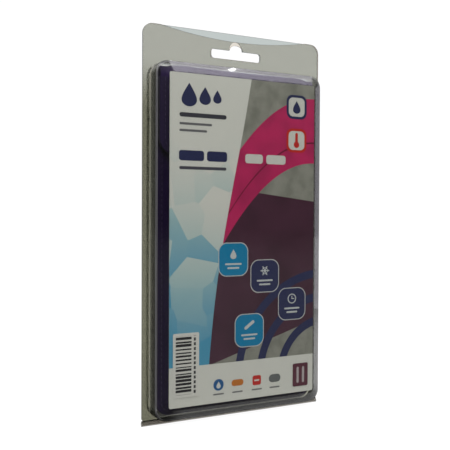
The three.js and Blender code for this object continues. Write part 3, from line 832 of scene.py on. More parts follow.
@dataclass(frozen=True)
class Thread:
    """Sewing thread: two twisted plies, with painted shade in the grooves of the twist."""

    name: str
    colour: Colour

    def material(self) -> Material:
        """Makes the material."""
        n = Nodes(self.name)
        axes = n.split(n.pattern())
        twist = n.math("SINE", n.math("MULTIPLY", n.math("ADD", axes[0], axes[1]), 2 * math.pi / 0.5))
        # Painted shade: the colour darkens in the grooves of the twist.
        dark = tuple(0.5 * part for part in self.colour)
        return n.principled(
            Base_Color=n.mix(n.ramp(twist, -0.8, 0.8), dark, self.colour),
            Roughness=0.5,
            Normal=n.bump(twist, 0.05),
            Sheen_Weight=0.3,
        )


class Print:
    """Flat inks laid over each other on the X-Z plane, with every place in millimetres."""

    def __init__(self, nodes: Nodes, ground: object) -> None:
        """Starts with the bare ground.

        Args:
            nodes: the material's nodes.
            ground: colour of the ground, plain or a socket.
        """
        self.n = nodes
        self.flat = nodes.vector("MULTIPLY", nodes.place(), (1, 0, 1))
        self.x, _, self.z = nodes.split(self.flat)
        self.colour = ground
        self.edge = 0.12

    def ink(self, mask: Socket, colour: object, strength: float = 1.0) -> None:
        """Lays an ink where the mask is 1."""
        share = mask if strength == 1 else self.n.math("MULTIPLY", mask, strength)
        self.colour = self.n.mix(share, self.colour, colour)

    def inside(self, distance: object, reach: float) -> Socket:
        """1 where a distance is under reach, with a thin soft edge."""
        return self.n.ramp(distance, reach - self.edge, reach + self.edge, 1, 0)

    def both(self, first: Socket, second: Socket) -> Socket:
        """Where two masks meet."""
        return self.n.math("MULTIPLY", first, second)

    def disc(self, x: float, z: float, radius: float) -> Socket:
        """A round spot."""
        return self.inside(self.n.distance(self.flat, (x, 0, z)), radius)

    def bar(
        self, x: float, z: float, width: float, height: float, radius: float, turn: float = 0
    ) -> Socket:
        """A rounded bar: the distance to a smaller bar is under the corner's radius.

        Args:
            x: X of its middle.
            z: Z of its middle.
            width: its width.
            height: its height.
            radius: radius of its corners.
            turn: angle in degrees that it is turned by.

        Returns:
            The mask.
        """
        n = self.n
        point = n.vector("SUBTRACT", self.flat, (x, 0, z))
        if turn:
            angle = {"Vector": point, "Angle": math.radians(turn)}
            point = n.add("VectorRotate", angle, rotation_type="Y_AXIS").outputs[0]
        core = (width / 2 - radius, 1.0, height / 2 - radius)
        beyond = n.vector("SUBTRACT", n.vector("ABSOLUTE", point), core)
        return self.inside(n.distance(n.vector("MAXIMUM", beyond)), radius)

    def bars(self, rows: Sequence[tuple]) -> None:
        """Lays bars, each given by what bar takes and then its ink."""
        for *shape, colour in rows:
            self.ink(self.bar(*shape), colour)

    def flake(self, x: float, z: float, reach: float, arm: float) -> Socket:
        """A six-armed flake: the angle is folded to its nearest arm, and the arm is a thin line."""
        n = self.n
        point = n.vector("SUBTRACT", self.flat, (x, 0, z))
        along, _, up = n.split(point)
        length = n.distance(point)
        angle = n.math("PINGPONG", n.math("ADD", n.math("ARCTAN2", up, along), 2 * math.pi), math.pi / 6)
        off_arm = n.math("MULTIPLY", length, n.math("SINE", angle))
        knot = n.math("ABSOLUTE", n.math("SUBTRACT", length, 0.62 * reach))
        arms = self.inside(off_arm, arm)
        knots = self.both(self.inside(knot, arm), self.inside(off_arm, 0.24 * reach))
        return self.both(n.math("MAXIMUM", arms, knots), self.inside(length, reach))

    def drop(self, x: float, z: float, height: float) -> Socket:
        """A drop: its half width follows a sine that is bent towards its foot, so it closes to a tip."""
        n = self.n
        share = n.math("DIVIDE", n.math("SUBTRACT", self.z, z - height / 2), height, clamp=True)
        belly = n.math("SINE", n.math("MULTIPLY", n.math("POWER", share, 0.55), math.pi))
        width = n.math("MULTIPLY", belly, 0.36 * height)
        across = n.math("ABSOLUTE", n.math("SUBTRACT", self.x, x))
        return self.inside(n.math("SUBTRACT", across, width), -self.edge)

    def below(self, line: object) -> Socket:
        """1 where Z is under a line."""
        return self.inside(self.n.math("SUBTRACT", self.z, line), 0)

    def beside(self, value: object, level: float, reach: float) -> Socket:
        """1 where a value is within reach of a level."""
        return self.inside(self.n.math("ABSOLUTE", self.n.math("SUBTRACT", value, level)), reach)

    def finish(self, roughness: float) -> Material:
        """Finishes the material of a printed label."""
        grain = self.n.bump(self.n.noise(self.n.place(), 0.6), 0.01)
        return self.n.principled(Base_Color=self.colour, Roughness=roughness, Normal=grain)


@dataclass(frozen=True)
class PrintedCard:
    """The card's printed front: a pale faceted ground, a plum field behind a curved edge, and pictograms."""

    name: str
    low: float
    high: float
    half: float
    white: Colour = (0.80, 0.81, 0.78)
    ice: Colour = (0.46, 0.65, 0.67)
    lake: Colour = (0.09, 0.38, 0.60)
    taupe: Colour = (0.34, 0.345, 0.31)
    magenta: Colour = (0.62, 0.028, 0.15)
    plum: Colour = (0.085, 0.030, 0.058)
    dark_plum: Colour = (0.062, 0.022, 0.042)
    navy: Colour = (0.026, 0.032, 0.11)
    teal: Colour = (0.001, 0.25, 0.50)
    red: Colour = (0.62, 0.03, 0.025)
    dark_taupe: Colour = (0.24, 0.245, 0.215)
    dark_magenta: Colour = (0.46, 0.024, 0.12)
    crease: Colour = (0.20, 0.012, 0.05)
    black: Colour = (0.05, 0.05, 0.07)
    slate: Colour = (0.08, 0.08, 0.11)
    grey: Colour = (0.16, 0.16, 0.18)
    pale: Colour = (0.74, 0.75, 0.72)
    tile_rim: Colour = (0.60, 0.62, 0.64)
    tile_sign: Colour = (0.66, 0.70, 0.72)
    facet: float = 15.0
    band_height: float = 23.0
    roughness: float = 0.42

    def material(self) -> Material:
        """Makes the material."""
        n = Nodes(self.name)
        ground = Print(n, self.white)
        span = self.high - self.low
        self.lay_ground(n, ground, span)
        self.lay_field(n, ground, span)
        self.lay_titles(ground)
        self.lay_tiles(ground)
        ground.ink(ground.below(self.low + self.band_height), self.white)
        self.lay_marks(ground)
        speck = n.noise(n.place(), 0.5, 2)
        return n.principled(
            Base_Color=ground.colour,
            Roughness=n.ramp(speck, 0, 1, self.roughness - 0.04, self.roughness + 0.04),
            Normal=n.bump(speck, 0.01),
            Coat_Weight=0.15,
            Coat_Roughness=0.2,
        )

    def lay_ground(self, n: Nodes, ground: Print, span: float) -> None:
        """Lays the pale ground, which turns to a lake blue downwards in large soft facets."""
        cells = n.add("TexVoronoi", {"Vector": ground.flat, "Scale": 1 / self.facet}).outputs["Color"]
        shift = n.math("MULTIPLY", n.math("SUBTRACT", n.split(cells)[0], 0.5), 0.26 * span)
        height = n.math("ADD", ground.z, shift)
        for low, high, colour in ((0.42, 0.74, self.ice), (0.20, 0.56, self.lake)):
            ground.ink(n.ramp(height, self.low + low * span, self.low + high * span, 1, 0), colour)

    def lay_field(self, n: Nodes, ground: Print, span: float) -> None:
        """Lays the dark field to the right of a curved edge, with a broad band and a set of arcs on it."""
        x, z = ground.x, ground.z
        share = n.math("DIVIDE", n.math("SUBTRACT", z, self.low), span)
        bend = n.math("MULTIPLY", n.math("SINE", n.math("MULTIPLY", share, 4.4)), -0.06 * self.half)
        edge = n.math("MULTIPLY_ADD", share, 0.54 * self.half, -0.52 * self.half)
        right_of = ground.inside(n.math("SUBTRACT", n.math("ADD", edge, bend), x), 0)
        taupe = n.mix(n.ramp(n.noise(ground.flat, 9, 3), 0.35, 0.7), self.taupe, self.dark_taupe)
        ground.ink(right_of, taupe)
        plum = n.mix(n.ramp(n.noise(ground.flat, 30, 2), 0.35, 0.65), self.plum, self.dark_plum)
        top = ground.below(n.math("MULTIPLY_ADD", x, -0.12, -86.0))
        foot = n.math("SUBTRACT", 1.0, ground.below(n.math("MULTIPLY_ADD", x, 0.3, -176.0)))
        ground.ink(ground.both(right_of, ground.both(top, foot)), plum)
        arch = n.math("MULTIPLY", n.math("POWER", n.math("SUBTRACT", x, 46.0), 2.0), 0.013)
        arched = n.math("ADD", z, arch)
        rosy = n.mix(n.ramp(n.noise(ground.flat, 16, 2), 0.35, 0.7), self.magenta, self.dark_magenta)
        ground.ink(ground.both(right_of, ground.beside(arched, -50.0, 19.0)), rosy)
        ground.ink(ground.both(right_of, ground.beside(arched, -57.0, 0.5)), self.crease)
        corner = n.distance(ground.flat, (54.0, 0, -192.0))
        for radius in (30.0, 44.0, 58.0):
            ground.ink(ground.both(right_of, ground.beside(corner, radius, 2.4)), self.navy)

    def lay_titles(self, ground: Print) -> None:
        """Lays three drops and plain bars at the top, and a drop and a thermometer in two frames."""
        for place, height in ((-35.0, 13.0), (-25.5, 10.0), (-18.0, 7.5)):
            ground.ink(ground.drop(place, -34.6, height), self.navy)
        ground.bars(
            (
                (-26.5, -45.6, 28.5, 2.4, 1.2, self.black),
                (-31.0, -50.4, 19.5, 1.3, 0.6, self.grey),
                (-32.5, -54.0, 16.5, 1.3, 0.6, self.grey),
                (-33.5, -67.5, 15.0, 5.6, 1.6, self.navy),
                (-18.0, -67.5, 12.5, 5.6, 1.6, self.navy),
                (5.5, -67.8, 11.5, 5.2, 1.6, self.pale),
                (20.0, -67.8, 13.0, 5.2, 1.6, self.pale),
                (-26.5, -74.2, 28.5, 1.7, 0.8, self.slate),
                (34.0, -36.5, 14.0, 14.0, 4.0, self.navy),
                (34.0, -36.5, 11.0, 11.0, 2.8, self.pale),
                (34.0, -56.0, 14.0, 14.0, 4.0, self.red),
                (34.0, -56.0, 11.0, 11.0, 2.8, self.pale),
                (34.0, -55.0, 1.8, 7.0, 0.9, self.red),
            )
        )
        ground.ink(ground.drop(34.0, -36.5, 7.6), self.navy)
        ground.ink(ground.disc(34.0, -58.4, 1.9), self.red)

    def lay_tiles(self, ground: Print) -> None:
        """Lays four rounded tiles that step down beside the curved edge, each with a pale pictogram."""
        pale = self.tile_sign
        wet, cold, timed, slim = (-7.5, -124.5), (13.0, -134.5), (31.5, -151.5), (3.0, -165.0)
        for (x, z), colour in ((wet, self.teal), (cold, self.navy), (timed, self.navy), (slim, self.teal)):
            ground.bars(
                (
                    (x, z, 19.0, 19.0, 5.2, self.tile_rim),
                    (x, z, 18.0, 18.0, 4.8, colour),
                    (x, z - 2.6, 10.5, 1.0, 0.5, pale),
                    (x, z - 4.8, 7.5, 1.0, 0.5, pale),
                )
            )
        ground.ink(ground.drop(wet[0], wet[1] + 3.0, 5.6), pale)
        ground.ink(ground.flake(cold[0], cold[1] + 3.0, 2.9, 0.28), pale)
        x, z = timed[0], timed[1] + 3.0
        ground.ink(ground.disc(x, z, 2.9), pale)
        ground.ink(ground.disc(x, z, 2.3), self.navy)
        ground.bars(((x, z + 0.7, 0.5, 2.0, 0.25, pale), (x + 0.7, z, 1.8, 0.5, 0.25, pale)))
        ground.ink(ground.bar(slim[0], slim[1] + 3.0, 7.5, 1.8, 0.9, 35), pale)

    def lay_marks(self, ground: Print) -> None:
        """Lays a row of small plain marks along the white band."""
        z = self.low + 0.48 * self.band_height
        marks = (
            (-16.5, 6.4, 6.4, 3.1, (0.02, 0.12, 0.34)),
            (-4.5, 7.6, 3.6, 1.7, (0.62, 0.20, 0.03)),
            (8.0, 5.6, 5.6, 1.2, self.red),
            (20.0, 7.8, 4.6, 2.2, (0.16, 0.17, 0.18)),
        )
        for x, width, height, radius, colour in marks:
            under = (x, z - 5.2, 6.8, 0.9, 0.45, (0.22, 0.22, 0.23))
            ground.bars(((x, z, width, height, radius, colour), under))
        ground.ink(ground.drop(-16.5, z, 4.0), self.white)
        ground.ink(ground.bar(8.0, z, 3.2, 0.9, 0.4), self.white)


@dataclass(frozen=True)
class CodeLabel:
    """A white label with plain bars of chance widths stacked up it."""

    name: str
    extent: Extent
    bar: float = 1.9
    margin: float = 1.6
    tick: float = 2.6

    def material(self) -> Material:
        """Makes the material."""
        n = Nodes(self.name)
        label = Print(n, (0.80, 0.80, 0.78))
        place = n.math("DIVIDE", label.z, self.bar)
        chance = n.add("TexWhiteNoise", {"W": n.math("FLOOR", place)}, noise_dimensions="1D").outputs["Value"]
        dark = n.math("LESS_THAN", n.math("FRACT", place), n.math("MULTIPLY_ADD", chance, 0.5, 0.28))
        x, _, z = self.extent.middle
        width = 2 * self.extent.half_width - 2 * self.margin
        height = self.extent.top - self.extent.foot - 2 * self.margin
        stack = label.bar(x - 0.12 * width, z, 0.76 * width, height, 0.2)
        label.ink(label.both(stack, dark), (0.02, 0.02, 0.025))
        ticks = n.math("GREATER_THAN", n.math("FRACT", n.math("DIVIDE", label.z, self.tick)), 0.35)
        column = label.bar(x + 0.42 * width, z, 0.10 * width, height, 0.2)
        label.ink(label.both(column, ticks), (0.05, 0.05, 0.06))
        return label.finish(0.55)


@dataclass(frozen=True)
class ShadeLabel:
    """A small plum label with two pale bars up it."""

    name: str
    extent: Extent

    def material(self) -> Material:
        """Makes the material."""
        label = Print(Nodes(self.name), (0.13, 0.035, 0.06))
        x, _, z = self.extent.middle
        height = self.extent.top - self.extent.foot
        for offset, share in ((-1.9, 0.70), (1.9, 0.70)):
            label.ink(label.bar(x + offset, z, 1.5, share * height, 0.7), (0.55, 0.50, 0.52))
        return label.finish(0.5)


# Putting a finished piece on the frame


def seat(
    piece: Piece, body: Body, slot: Slot, nodes: Sequence[str] = ()
) -> Piece:
    """Puts a finished piece on its body, hides the nodes that it stands for, and reports it with its slot.

    Args:
        piece: the finished piece.
        body: the body that it moves with.
        slot: the record's material slot.
        nodes: the nodes that it stands for.

    Returns:
        The same piece.
    """
    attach(piece, body.value)
    return register(piece, slot, nodes)


def register(piece: Piece, slot: Slot, nodes: Sequence[str] = ()) -> Piece:
    """Hides the nodes that a piece stands for, and reports the piece with its slot."""
    if nodes:
        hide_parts(*nodes)
    LOG.info("%s: %d faces, %s", piece.name, len(piece.data.polygons), slot.value)
    return piece


# The clear pack


@dataclass
class ClearPack:
    """The clear pack: two thermoformed halves with a header each, and the folded bead between them.

    A half is one sheet. Its flange is flat, and its hollow is a rounded rectangle carried along a profile
    of inset and depth, so that walls, bevel and window are one surface.
    """

    cavity_margin: float = 4.13
    cavity_foot: float = -211.7
    cavity_top: float = -16.5
    cavity_corner: float = 7.0
    least_corner: float = 2.6
    sheet: float = 0.5
    slot_half: float = 16.0
    slot_bar: float = 5.3
    slot_bar_top: float = -5.2
    slot_corner: float = 1.7
    slot_rise_half: float = 4.25
    rear_rise: float = 5.2
    front_rise: float = 2.9
    header_corner: float = 5.6
    foot_corner: float = 1.6
    thumb_dip: float = 4.6
    thumb_from_side: float = 10.15
    bevel_depth: float = 4.3
    bevel_inset: float = 6.63
    front_draft: float = 0.2
    rear_draft: float = 0.3
    foot_round: float = 0.4
    bevel_round: float = 1.1
    tray_round: float = 1.4
    flat_ring: float = 0.8
    bead_gap: float = 20.0
    rear: Extent = extent_of("rear_shell")
    front: Extent = extent_of("front_shell")
    bead: Extent = extent_of("hinge_fold")

    def slot_loop(self, rise: float) -> Array:
        """The slot: a bar with round corners and a half ellipse on its top edge.

        Args:
            rise: height of the half ellipse.

        Returns:
            Points of the closed loop.
        """
        low = self.slot_bar_top - self.slot_bar
        bar = rounded_loop(-self.slot_half, self.slot_half, low, self.slot_bar_top, self.slot_corner, 6)
        turn = np.linspace(0, np.pi, 17)
        ellipse = np.stack(
            [self.slot_rise_half * np.cos(turn), self.slot_bar_top + rise * np.sin(turn)], axis=1
        )
        return np.concatenate([bar[:7], ellipse, bar[7:]])

    def flange_loop(self, dipped: bool) -> Array:
        """Outline of a flange with its header.

        Args:
            dipped: whether a shallow arc dips in its top edge.

        Returns:
            Points of the closed loop.
        """
        half, low, high = self.rear.half_width, self.rear.foot, self.rear.top
        head = rounded_loop(-half, half, low, high, self.header_corner, 8)[:18]
        foot = rounded_loop(-half, half, low, high, self.foot_corner, 5)[12:]
        if not dipped:
            return np.concatenate([head, foot])
        reach = half - self.thumb_from_side
        radius = (reach**2 + self.thumb_dip**2) / (2 * self.thumb_dip)
        sweep = np.linspace(1, -1, 33) * np.arcsin(reach / radius)
        rise = radius * (1 - np.cos(sweep)) - self.thumb_dip
        arc = np.stack([radius * np.sin(sweep), high + rise], axis=1)
        return np.concatenate([head[:9], arc, head[9:], foot])

    def ring(self, inset: Array) -> Array:
        """Rounded rectangles taken in from the hollow's outline: their corners narrow as they go in.

        Args:
            inset: how far each one is taken in.

        Returns:
            Points, one loop for each inset.
        """
        half = self.rear.half_width - self.cavity_margin - inset
        radius = np.maximum(self.cavity_corner - inset, self.least_corner)
        return rounded_loop(-half, half, self.cavity_foot + inset, self.cavity_top - inset, radius)

    def half_pack(
        self, name: str, profile: Array, side: Side, outline: Array, slot: Array, looks: Sequence
    ) -> Piece:
        """One half: a flange between outline, slot and hollow, and a hollow carried along a profile.

        Args:
            name: the piece's name.
            profile: inset and depth of the hollow's outer face, from the flange inwards.
            side: the side that it bulges to.
            outline: the flange's outline.
            slot: the slot's outline.
            looks: the sheet's and the cut edge's materials.

        Returns:
            The finished half.
        """
        rings = self.ring(profile[:, 0])
        depth = np.broadcast_to(side.value * profile[:, 1, None], rings.shape[:2])
        work = Patchwork()
        work.grid(np.stack([rings[..., 0], depth, rings[..., 1]], axis=-1), closed=True)
        work.fill([outline, slot, rings[0]], side.value * profile[0, 1])
        work.fill([rings[-1]], side.value * profile[-1, 1])
        piece = work.build(name, looks, towards=(0, side.value, 0), crease=60)
        return thicken(piece, self.sheet, rim_slot=1)

    def front_profile(self) -> Array:
        """Inset and depth of the front half: foot fillet, steep wall, bevel and window."""
        flange = self.sheet + abs(self.front.high[1])
        window = abs(self.front.low[1])
        corners = [
            (-self.foot_round - self.flat_ring, flange),
            (0, flange),
            (self.front_draft, window - self.bevel_depth),
            (self.bevel_inset, window),
            (self.bevel_inset + self.bevel_round + self.flat_ring, window),
        ]
        return filleted(corners, [self.foot_round, self.bevel_round, self.bevel_round])

    def rear_profile(self) -> Array:
        """Inset and depth of the rear half: foot fillet, wall and round-edged tray floor."""
        flange = self.sheet + self.rear.low[1]
        floor = self.rear.high[1]
        corners = [
            (-self.foot_round - self.flat_ring, flange),
            (0, flange),
            (self.rear_draft, floor),
            (self.rear_draft + self.tray_round + 2 * self.flat_ring, floor),
        ]
        return filleted(corners, [self.foot_round, self.tray_round])

    def bead_surface(self) -> tuple[Array, Array]:
        """The bead: an arc that runs under both flanges, with lips that rise to their feet, carried along X.

        Returns:
            The grid's points and its pattern coordinates.
        """
        radius = self.bead.high[1]
        centre = self.bead.foot + radius
        turn = np.radians(np.linspace(self.bead_gap, 360 - self.bead_gap, 37))
        arc = np.stack([radius * np.sin(turn), centre + radius * np.cos(turn)], axis=1)
        lip = np.array([[self.sheet + self.rear.low[1], self.rear.foot]])
        section = np.concatenate([lip, arc, lip * [-1, 1]])
        x = np.linspace(-self.rear.half_width, self.rear.half_width, 60)
        ends = np.abs(x) / self.rear.half_width
        swell = 1 + 0.06 * smooth_step(ends, 0.90, 1.0) * np.sin(9 * ends)
        y = section[:, 0] * swell[:, None]
        z = centre + (section[:, 1] - centre) * np.ones_like(y)
        points = np.stack([np.broadcast_to(x[:, None], y.shape), y, z], axis=-1)
        along = np.broadcast_to(arc_lengths(section), y.shape)
        return points, np.stack([points[..., 0], along], axis=-1)

    def build(self) -> None:
        """Builds both halves and the bead, seats the halves on their bodies and reports the bead."""
        edge = CutEdge().material()
        rear_look = ClearSheet(
            "clear_sheet_rear",
            head=(0.56, 0.61, 0.60),
            foot=(0.92, 0.92, 0.88),
            wall=(0.92, 0.92, 0.88),
            window_span=(3.0, 5.0),
            wall_to=3.0,
            bevel_span=(3.0, 4.0),
            deepening=0.1,
            bends=(),
        ).material()
        front_look = ClearSheet("clear_sheet_front", wall_haze=0.15).material()
        bead_look = ClearSheet(
            "clear_bead", flange=(0.38, 0.36, 0.33), shaded_low_wall=(0.38, 0.36, 0.33), haze=0.05, bends=()
        ).material()
        rear = self.half_pack(
            "rear_half", self.rear_profile(), Side.BACK, self.flange_loop(False),
            self.slot_loop(self.rear_rise), [rear_look, edge],
        )
        seat(rear, Body.PACK_REAR, Slot.CLEAR, ["rear_shell"])
        front = self.half_pack(
            "front_half", self.front_profile(), Side.FRONT, self.flange_loop(True),
            self.slot_loop(self.front_rise), [front_look, edge],
        )
        seat(front, Body.PACK_FRONT, Slot.CLEAR, ["front_shell"])
        work = Patchwork()
        work.grid(*self.bead_surface())
        bead = work.build("folded_bead", [bead_look, edge], towards=(0, 0, -1), crease=60)
        thicken(bead, self.sheet, rim_slot=1)
        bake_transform(bead)
        register(bead, Slot.CLEAR, ["hinge_fold"])


# Card, labels and leaflet


@dataclass
class PaperGoods:
    """The printed card with its two labels, and the plain folded leaflet behind the wallet."""

    card_corner: float = 1.0
    label_corner: float = 0.8
    leaf: float = 0.3
    leaf_bow: float = 0.12
    card_foot_room: float = 1.1
    card: Extent = extent_of("insert_card")
    code: Extent = extent_of("barcode_label")
    shade: Extent = extent_of("colour_label")
    leaflet: Extent = extent_of("instruction_leaflet")

    def plate(
        self, name: str, extent: Extent, corner: float, looks: Sequence[Material]
    ) -> Piece:
        """A flat rounded plate in an extent, with its front face in the first look and the rest in the last.

        Args:
            name: the piece's name.
            extent: where it lies.
            corner: radius of its corners.
            looks: its materials.

        Returns:
            The piece.
        """
        (left, front, low), (right, back, high) = extent.low, extent.high
        work = Patchwork()
        work.slab(rounded_loop(left, right, low, high, corner, 6), front, back, len(looks) - 1)
        return work.build(name, looks)

    def leaflet_surface(self) -> tuple[Array, Array]:
        """The leaflet's outer face: down the back leaf, round the fold and up the front leaf.

        Returns:
            The grid's points and its pattern coordinates.
        """
        (left, front, low), (right, back, high) = self.leaflet.low, self.leaflet.high
        radius = (back - front) / 2
        down = np.linspace(high, low + radius, 40)
        turn = np.linspace(0, np.pi, 9)[1:-1]
        fold = front + radius + radius * np.cos(turn)
        y = np.concatenate([np.full_like(down, back), fold, np.full_like(down, front)])
        z = np.concatenate([down, low + radius - radius * np.sin(turn), down[::-1]])
        rows = np.stack([y, z], axis=1)
        x = np.linspace(left, right, 30)
        rise = np.sin(np.pi * (z - low) / (high - low))[:, None] ** 2
        bowed = y[:, None] + self.leaf_bow * np.sin(np.pi * (x - left) / (right - left)) * rise
        points = np.stack(np.broadcast_arrays(x, bowed, z[:, None]), axis=-1)
        along = np.broadcast_to(arc_lengths(rows)[:, None], bowed.shape)
        return points, np.stack([points[..., 0], along], axis=-1)

    def build(self) -> None:
        """Builds the card, its labels and the leaflet, and seats them."""
        board = Paper("grey_board", (0.62, 0.61, 0.57), 0.7, 0.8).material()
        face = PrintedCard("card_print", self.card.foot, self.card.top, self.card.half_width).material()
        area = Extent(self.card.low + [0, 0, self.card_foot_room], self.card.high)
        code_face = CodeLabel("bar_print", self.code).material()
        shade_face = ShadeLabel("shade_print", self.shade).material()
        rows = (
            ("printed_card", area, self.card_corner, [face, board], Slot.CARD, "insert_card"),
            ("bar_label", self.code, self.label_corner, [code_face], Slot.WHITE_LABEL, "barcode_label"),
            ("shade_label", self.shade, self.label_corner, [shade_face], Slot.PLUM_LABEL, "colour_label"),
        )
        for name, extent, corner, looks, slot, node in rows:
            seat(self.plate(name, extent, corner, looks), Body.PACK_FRONT, slot, [node])
        work = Patchwork()
        work.grid(*self.leaflet_surface())
        paper = Paper("leaflet_paper", (0.83, 0.83, 0.80)).material()
        leaflet = work.build("folded_leaflet", [paper], towards=(0, 0, -1))
        thicken(leaflet, self.leaf)
        seat(leaflet, Body.PACK_REAR, Slot.PAPER, ["instruction_leaflet"])


# The wallet


@dataclass(frozen=True)
class SewnOutline:
    """Outline of a sewn panel: straight sides, a foot with round corners, and an open top."""

    half: float
    low: float
    radius: float
    seam: float
    shoulder: float

    def half_at(self, z: Array) -> Array:
        """Half width at a height: it narrows through the round foot corners as a circle does."""
        drop = np.clip(self.low + self.radius - z, 0, self.radius)
        return self.half - self.radius + np.sqrt(self.radius**2 - drop**2)

    def distance(self, x: Array, z: Array) -> Array:
        """Distance to the sewn sides and foot."""
        across = np.maximum(np.abs(x) - (self.half - self.radius), 0)
        down = np.maximum(self.low + self.radius - z, 0)
        straight = np.minimum(self.half - np.abs(x), z - self.low)
        return np.where((across > 0) & (down > 0), self.radius - np.hypot(across, down), straight)

    def swell(self, x: Array, z: Array) -> Array:
        """Share of the full thickness: nought up to the seam, then a quarter sine up the shoulder."""
        return np.sin(np.pi / 2 * np.clip((self.distance(x, z) - self.seam) / self.shoulder, 0, 1))

    def lattice(self, top: float, columns: int, rows: int, foot_rows: int = 7) -> tuple[Array, Array]:
        """Even places across the outline, in rows that close up through its round foot.

        Args:
            top: height of the open top.
            columns: places across.
            rows: rows above the round foot.
            foot_rows: rows in the round foot.

        Returns:
            X and Z of the grid.
        """
        turn = np.linspace(0, np.pi / 2, foot_rows, endpoint=False)
        foot = self.low + self.radius * (1 - np.cos(turn))
        z = np.concatenate([foot, np.linspace(self.low + self.radius, top, rows)])
        x = np.linspace(-1, 1, columns) * self.half_at(z)[:, None]
        return x, np.broadcast_to(z[:, None], x.shape)

    def band(self, extent: Extent, columns: int, rows: int) -> tuple[Array, Array]:
        """Even places across the full width, from the foot to the top of an extent.

        Args:
            extent: where the band lies.
            columns: places across.
            rows: rows of them.

        Returns:
            X and Z of the grid.
        """
        heights = np.linspace(extent.foot, extent.top, rows)
        x, z = np.meshgrid(np.linspace(-1, 1, columns) * self.half, heights)
        return x, z


@dataclass(frozen=True)
class Layers:
    """Levels of the wallet's layers: distances from its middle plane, in millimetres."""

    middle: float
    seam_gap: float = 0.15
    lining: float = 0.4
    skin: float = 0.5
    cover: float = 0.8
    lining_full: float = 2.25
    skin_full: float = 4.45
    skin_seam: float = 0.7
    cover_full: float = 5.25
    quilt_dip: float = 0.9

    def at(self, side: Side, level: Array) -> Array:
        """Y of a level on one side of the middle plane."""
        return self.middle + side.value * level


@dataclass(frozen=True)
class StitchRow:
    """A row of stitches along a path: each is a small spindle that dips into the cloth at its ends."""

    length: float = 2.3
    pitch: float = 3.1
    radius: float = 0.17
    sink: float = 0.05

    def add_to(self, work: Patchwork, x: Array, y: Array | float, z: Array | float, side: Side) -> None:
        """Adds the row's stitches to a patchwork.

        Args:
            work: the patchwork.
            x: X of the row's points on the cloth, as for the next two.
            y: their Y.
            z: their Z.
            side: the side that the cloth faces.
        """
        path = np.stack(np.broadcast_arrays(x, y, z), axis=1)
        along = arc_lengths(path)
        count = int(along[-1] / self.pitch)
        at = (np.arange(count) + 0.5) * along[-1] / count
        centre, before, after = (
            np.stack([np.interp(place, along, column) for column in path.T], axis=1)
            for place in (at, at - self.length / 2, at + self.length / 2)
        )
        ahead = (after - before) / np.linalg.norm(after - before, axis=1, keepdims=True)
        normal = np.array([0.0, side.value, 0.0])
        turn = np.linspace(0, 2 * np.pi, 7)[:-1]
        share = np.linspace(0, np.pi, 6)
        length = -np.cos(share)[:, None, None] * self.length / 2
        thick = np.sin(share)[:, None] ** 0.6 * self.radius
        lift = (thick * np.sin(turn) - self.sink * np.cos(share)[:, None] ** 2)[..., None]
        aside = (thick * np.cos(turn))[..., None]
        for base, forward, across in zip(centre, ahead, np.cross(ahead, normal)):
            work.grid(base + length * forward + lift * normal + aside * across, closed=True)


def tape_section(leg: float, near: float, thickness: float, edge: float, soft: float) -> Array:
    """The outer face of a folded tape: one leg, a soft fold round the edge, the other leg.

    Args:
        leg: how far each leg reaches inwards.
        near: level of the leg's inner face.
        thickness: thickness of the tape.
        edge: how far its outer face stands past the sewn edge.
        soft: radius of the fold's two corners.

    Returns:
        Points of reach along the outward direction, and level.
    """
    far = near + thickness
    corners = [(-leg, -far), (edge, -far), (edge, far), (-leg, far)]
    return filleted(corners, [soft, soft], 6)


def sewn_path(half: float, low: float, high: float, radius: float, steps: int = 10) -> tuple[Array, Array]:
    """The path down one side of an outline, round its foot and up the other side.

    Args:
        half: half width of the outline.
        low: its foot.
        high: where the path starts and ends.
        radius: radius of the foot's corners.
        steps: steps in each corner.

    Returns:
        Points in X and Z, and the outward direction at each.
    """
    sides, foot = np.ones(59), np.ones(30)
    down = np.linspace(high, low + radius, len(sides) + 1)[:-1]
    floor = np.linspace(-1, 1, len(foot) + 2)[1:-1] * (half - radius)
    left = np.pi + np.linspace(0, np.pi / 2, steps + 1)
    right = left + np.pi / 2
    turn = np.concatenate([np.pi * sides, left, 1.5 * np.pi * foot, right, 2 * np.pi * sides])
    out = np.stack([np.cos(turn), np.sin(turn)], axis=1)
    middle, rise = half - radius, low + radius
    bends = [(np.cos(corner) * radius, rise + radius * np.sin(corner)) for corner in (left, right)]
    x = np.concatenate([-half * sides, bends[0][0] - middle, floor, bends[1][0] + middle, half * sides])
    z = np.concatenate([down, bends[0][1], low * foot, bends[1][1], down[::-1]])
    return np.stack([x, z], axis=1), out


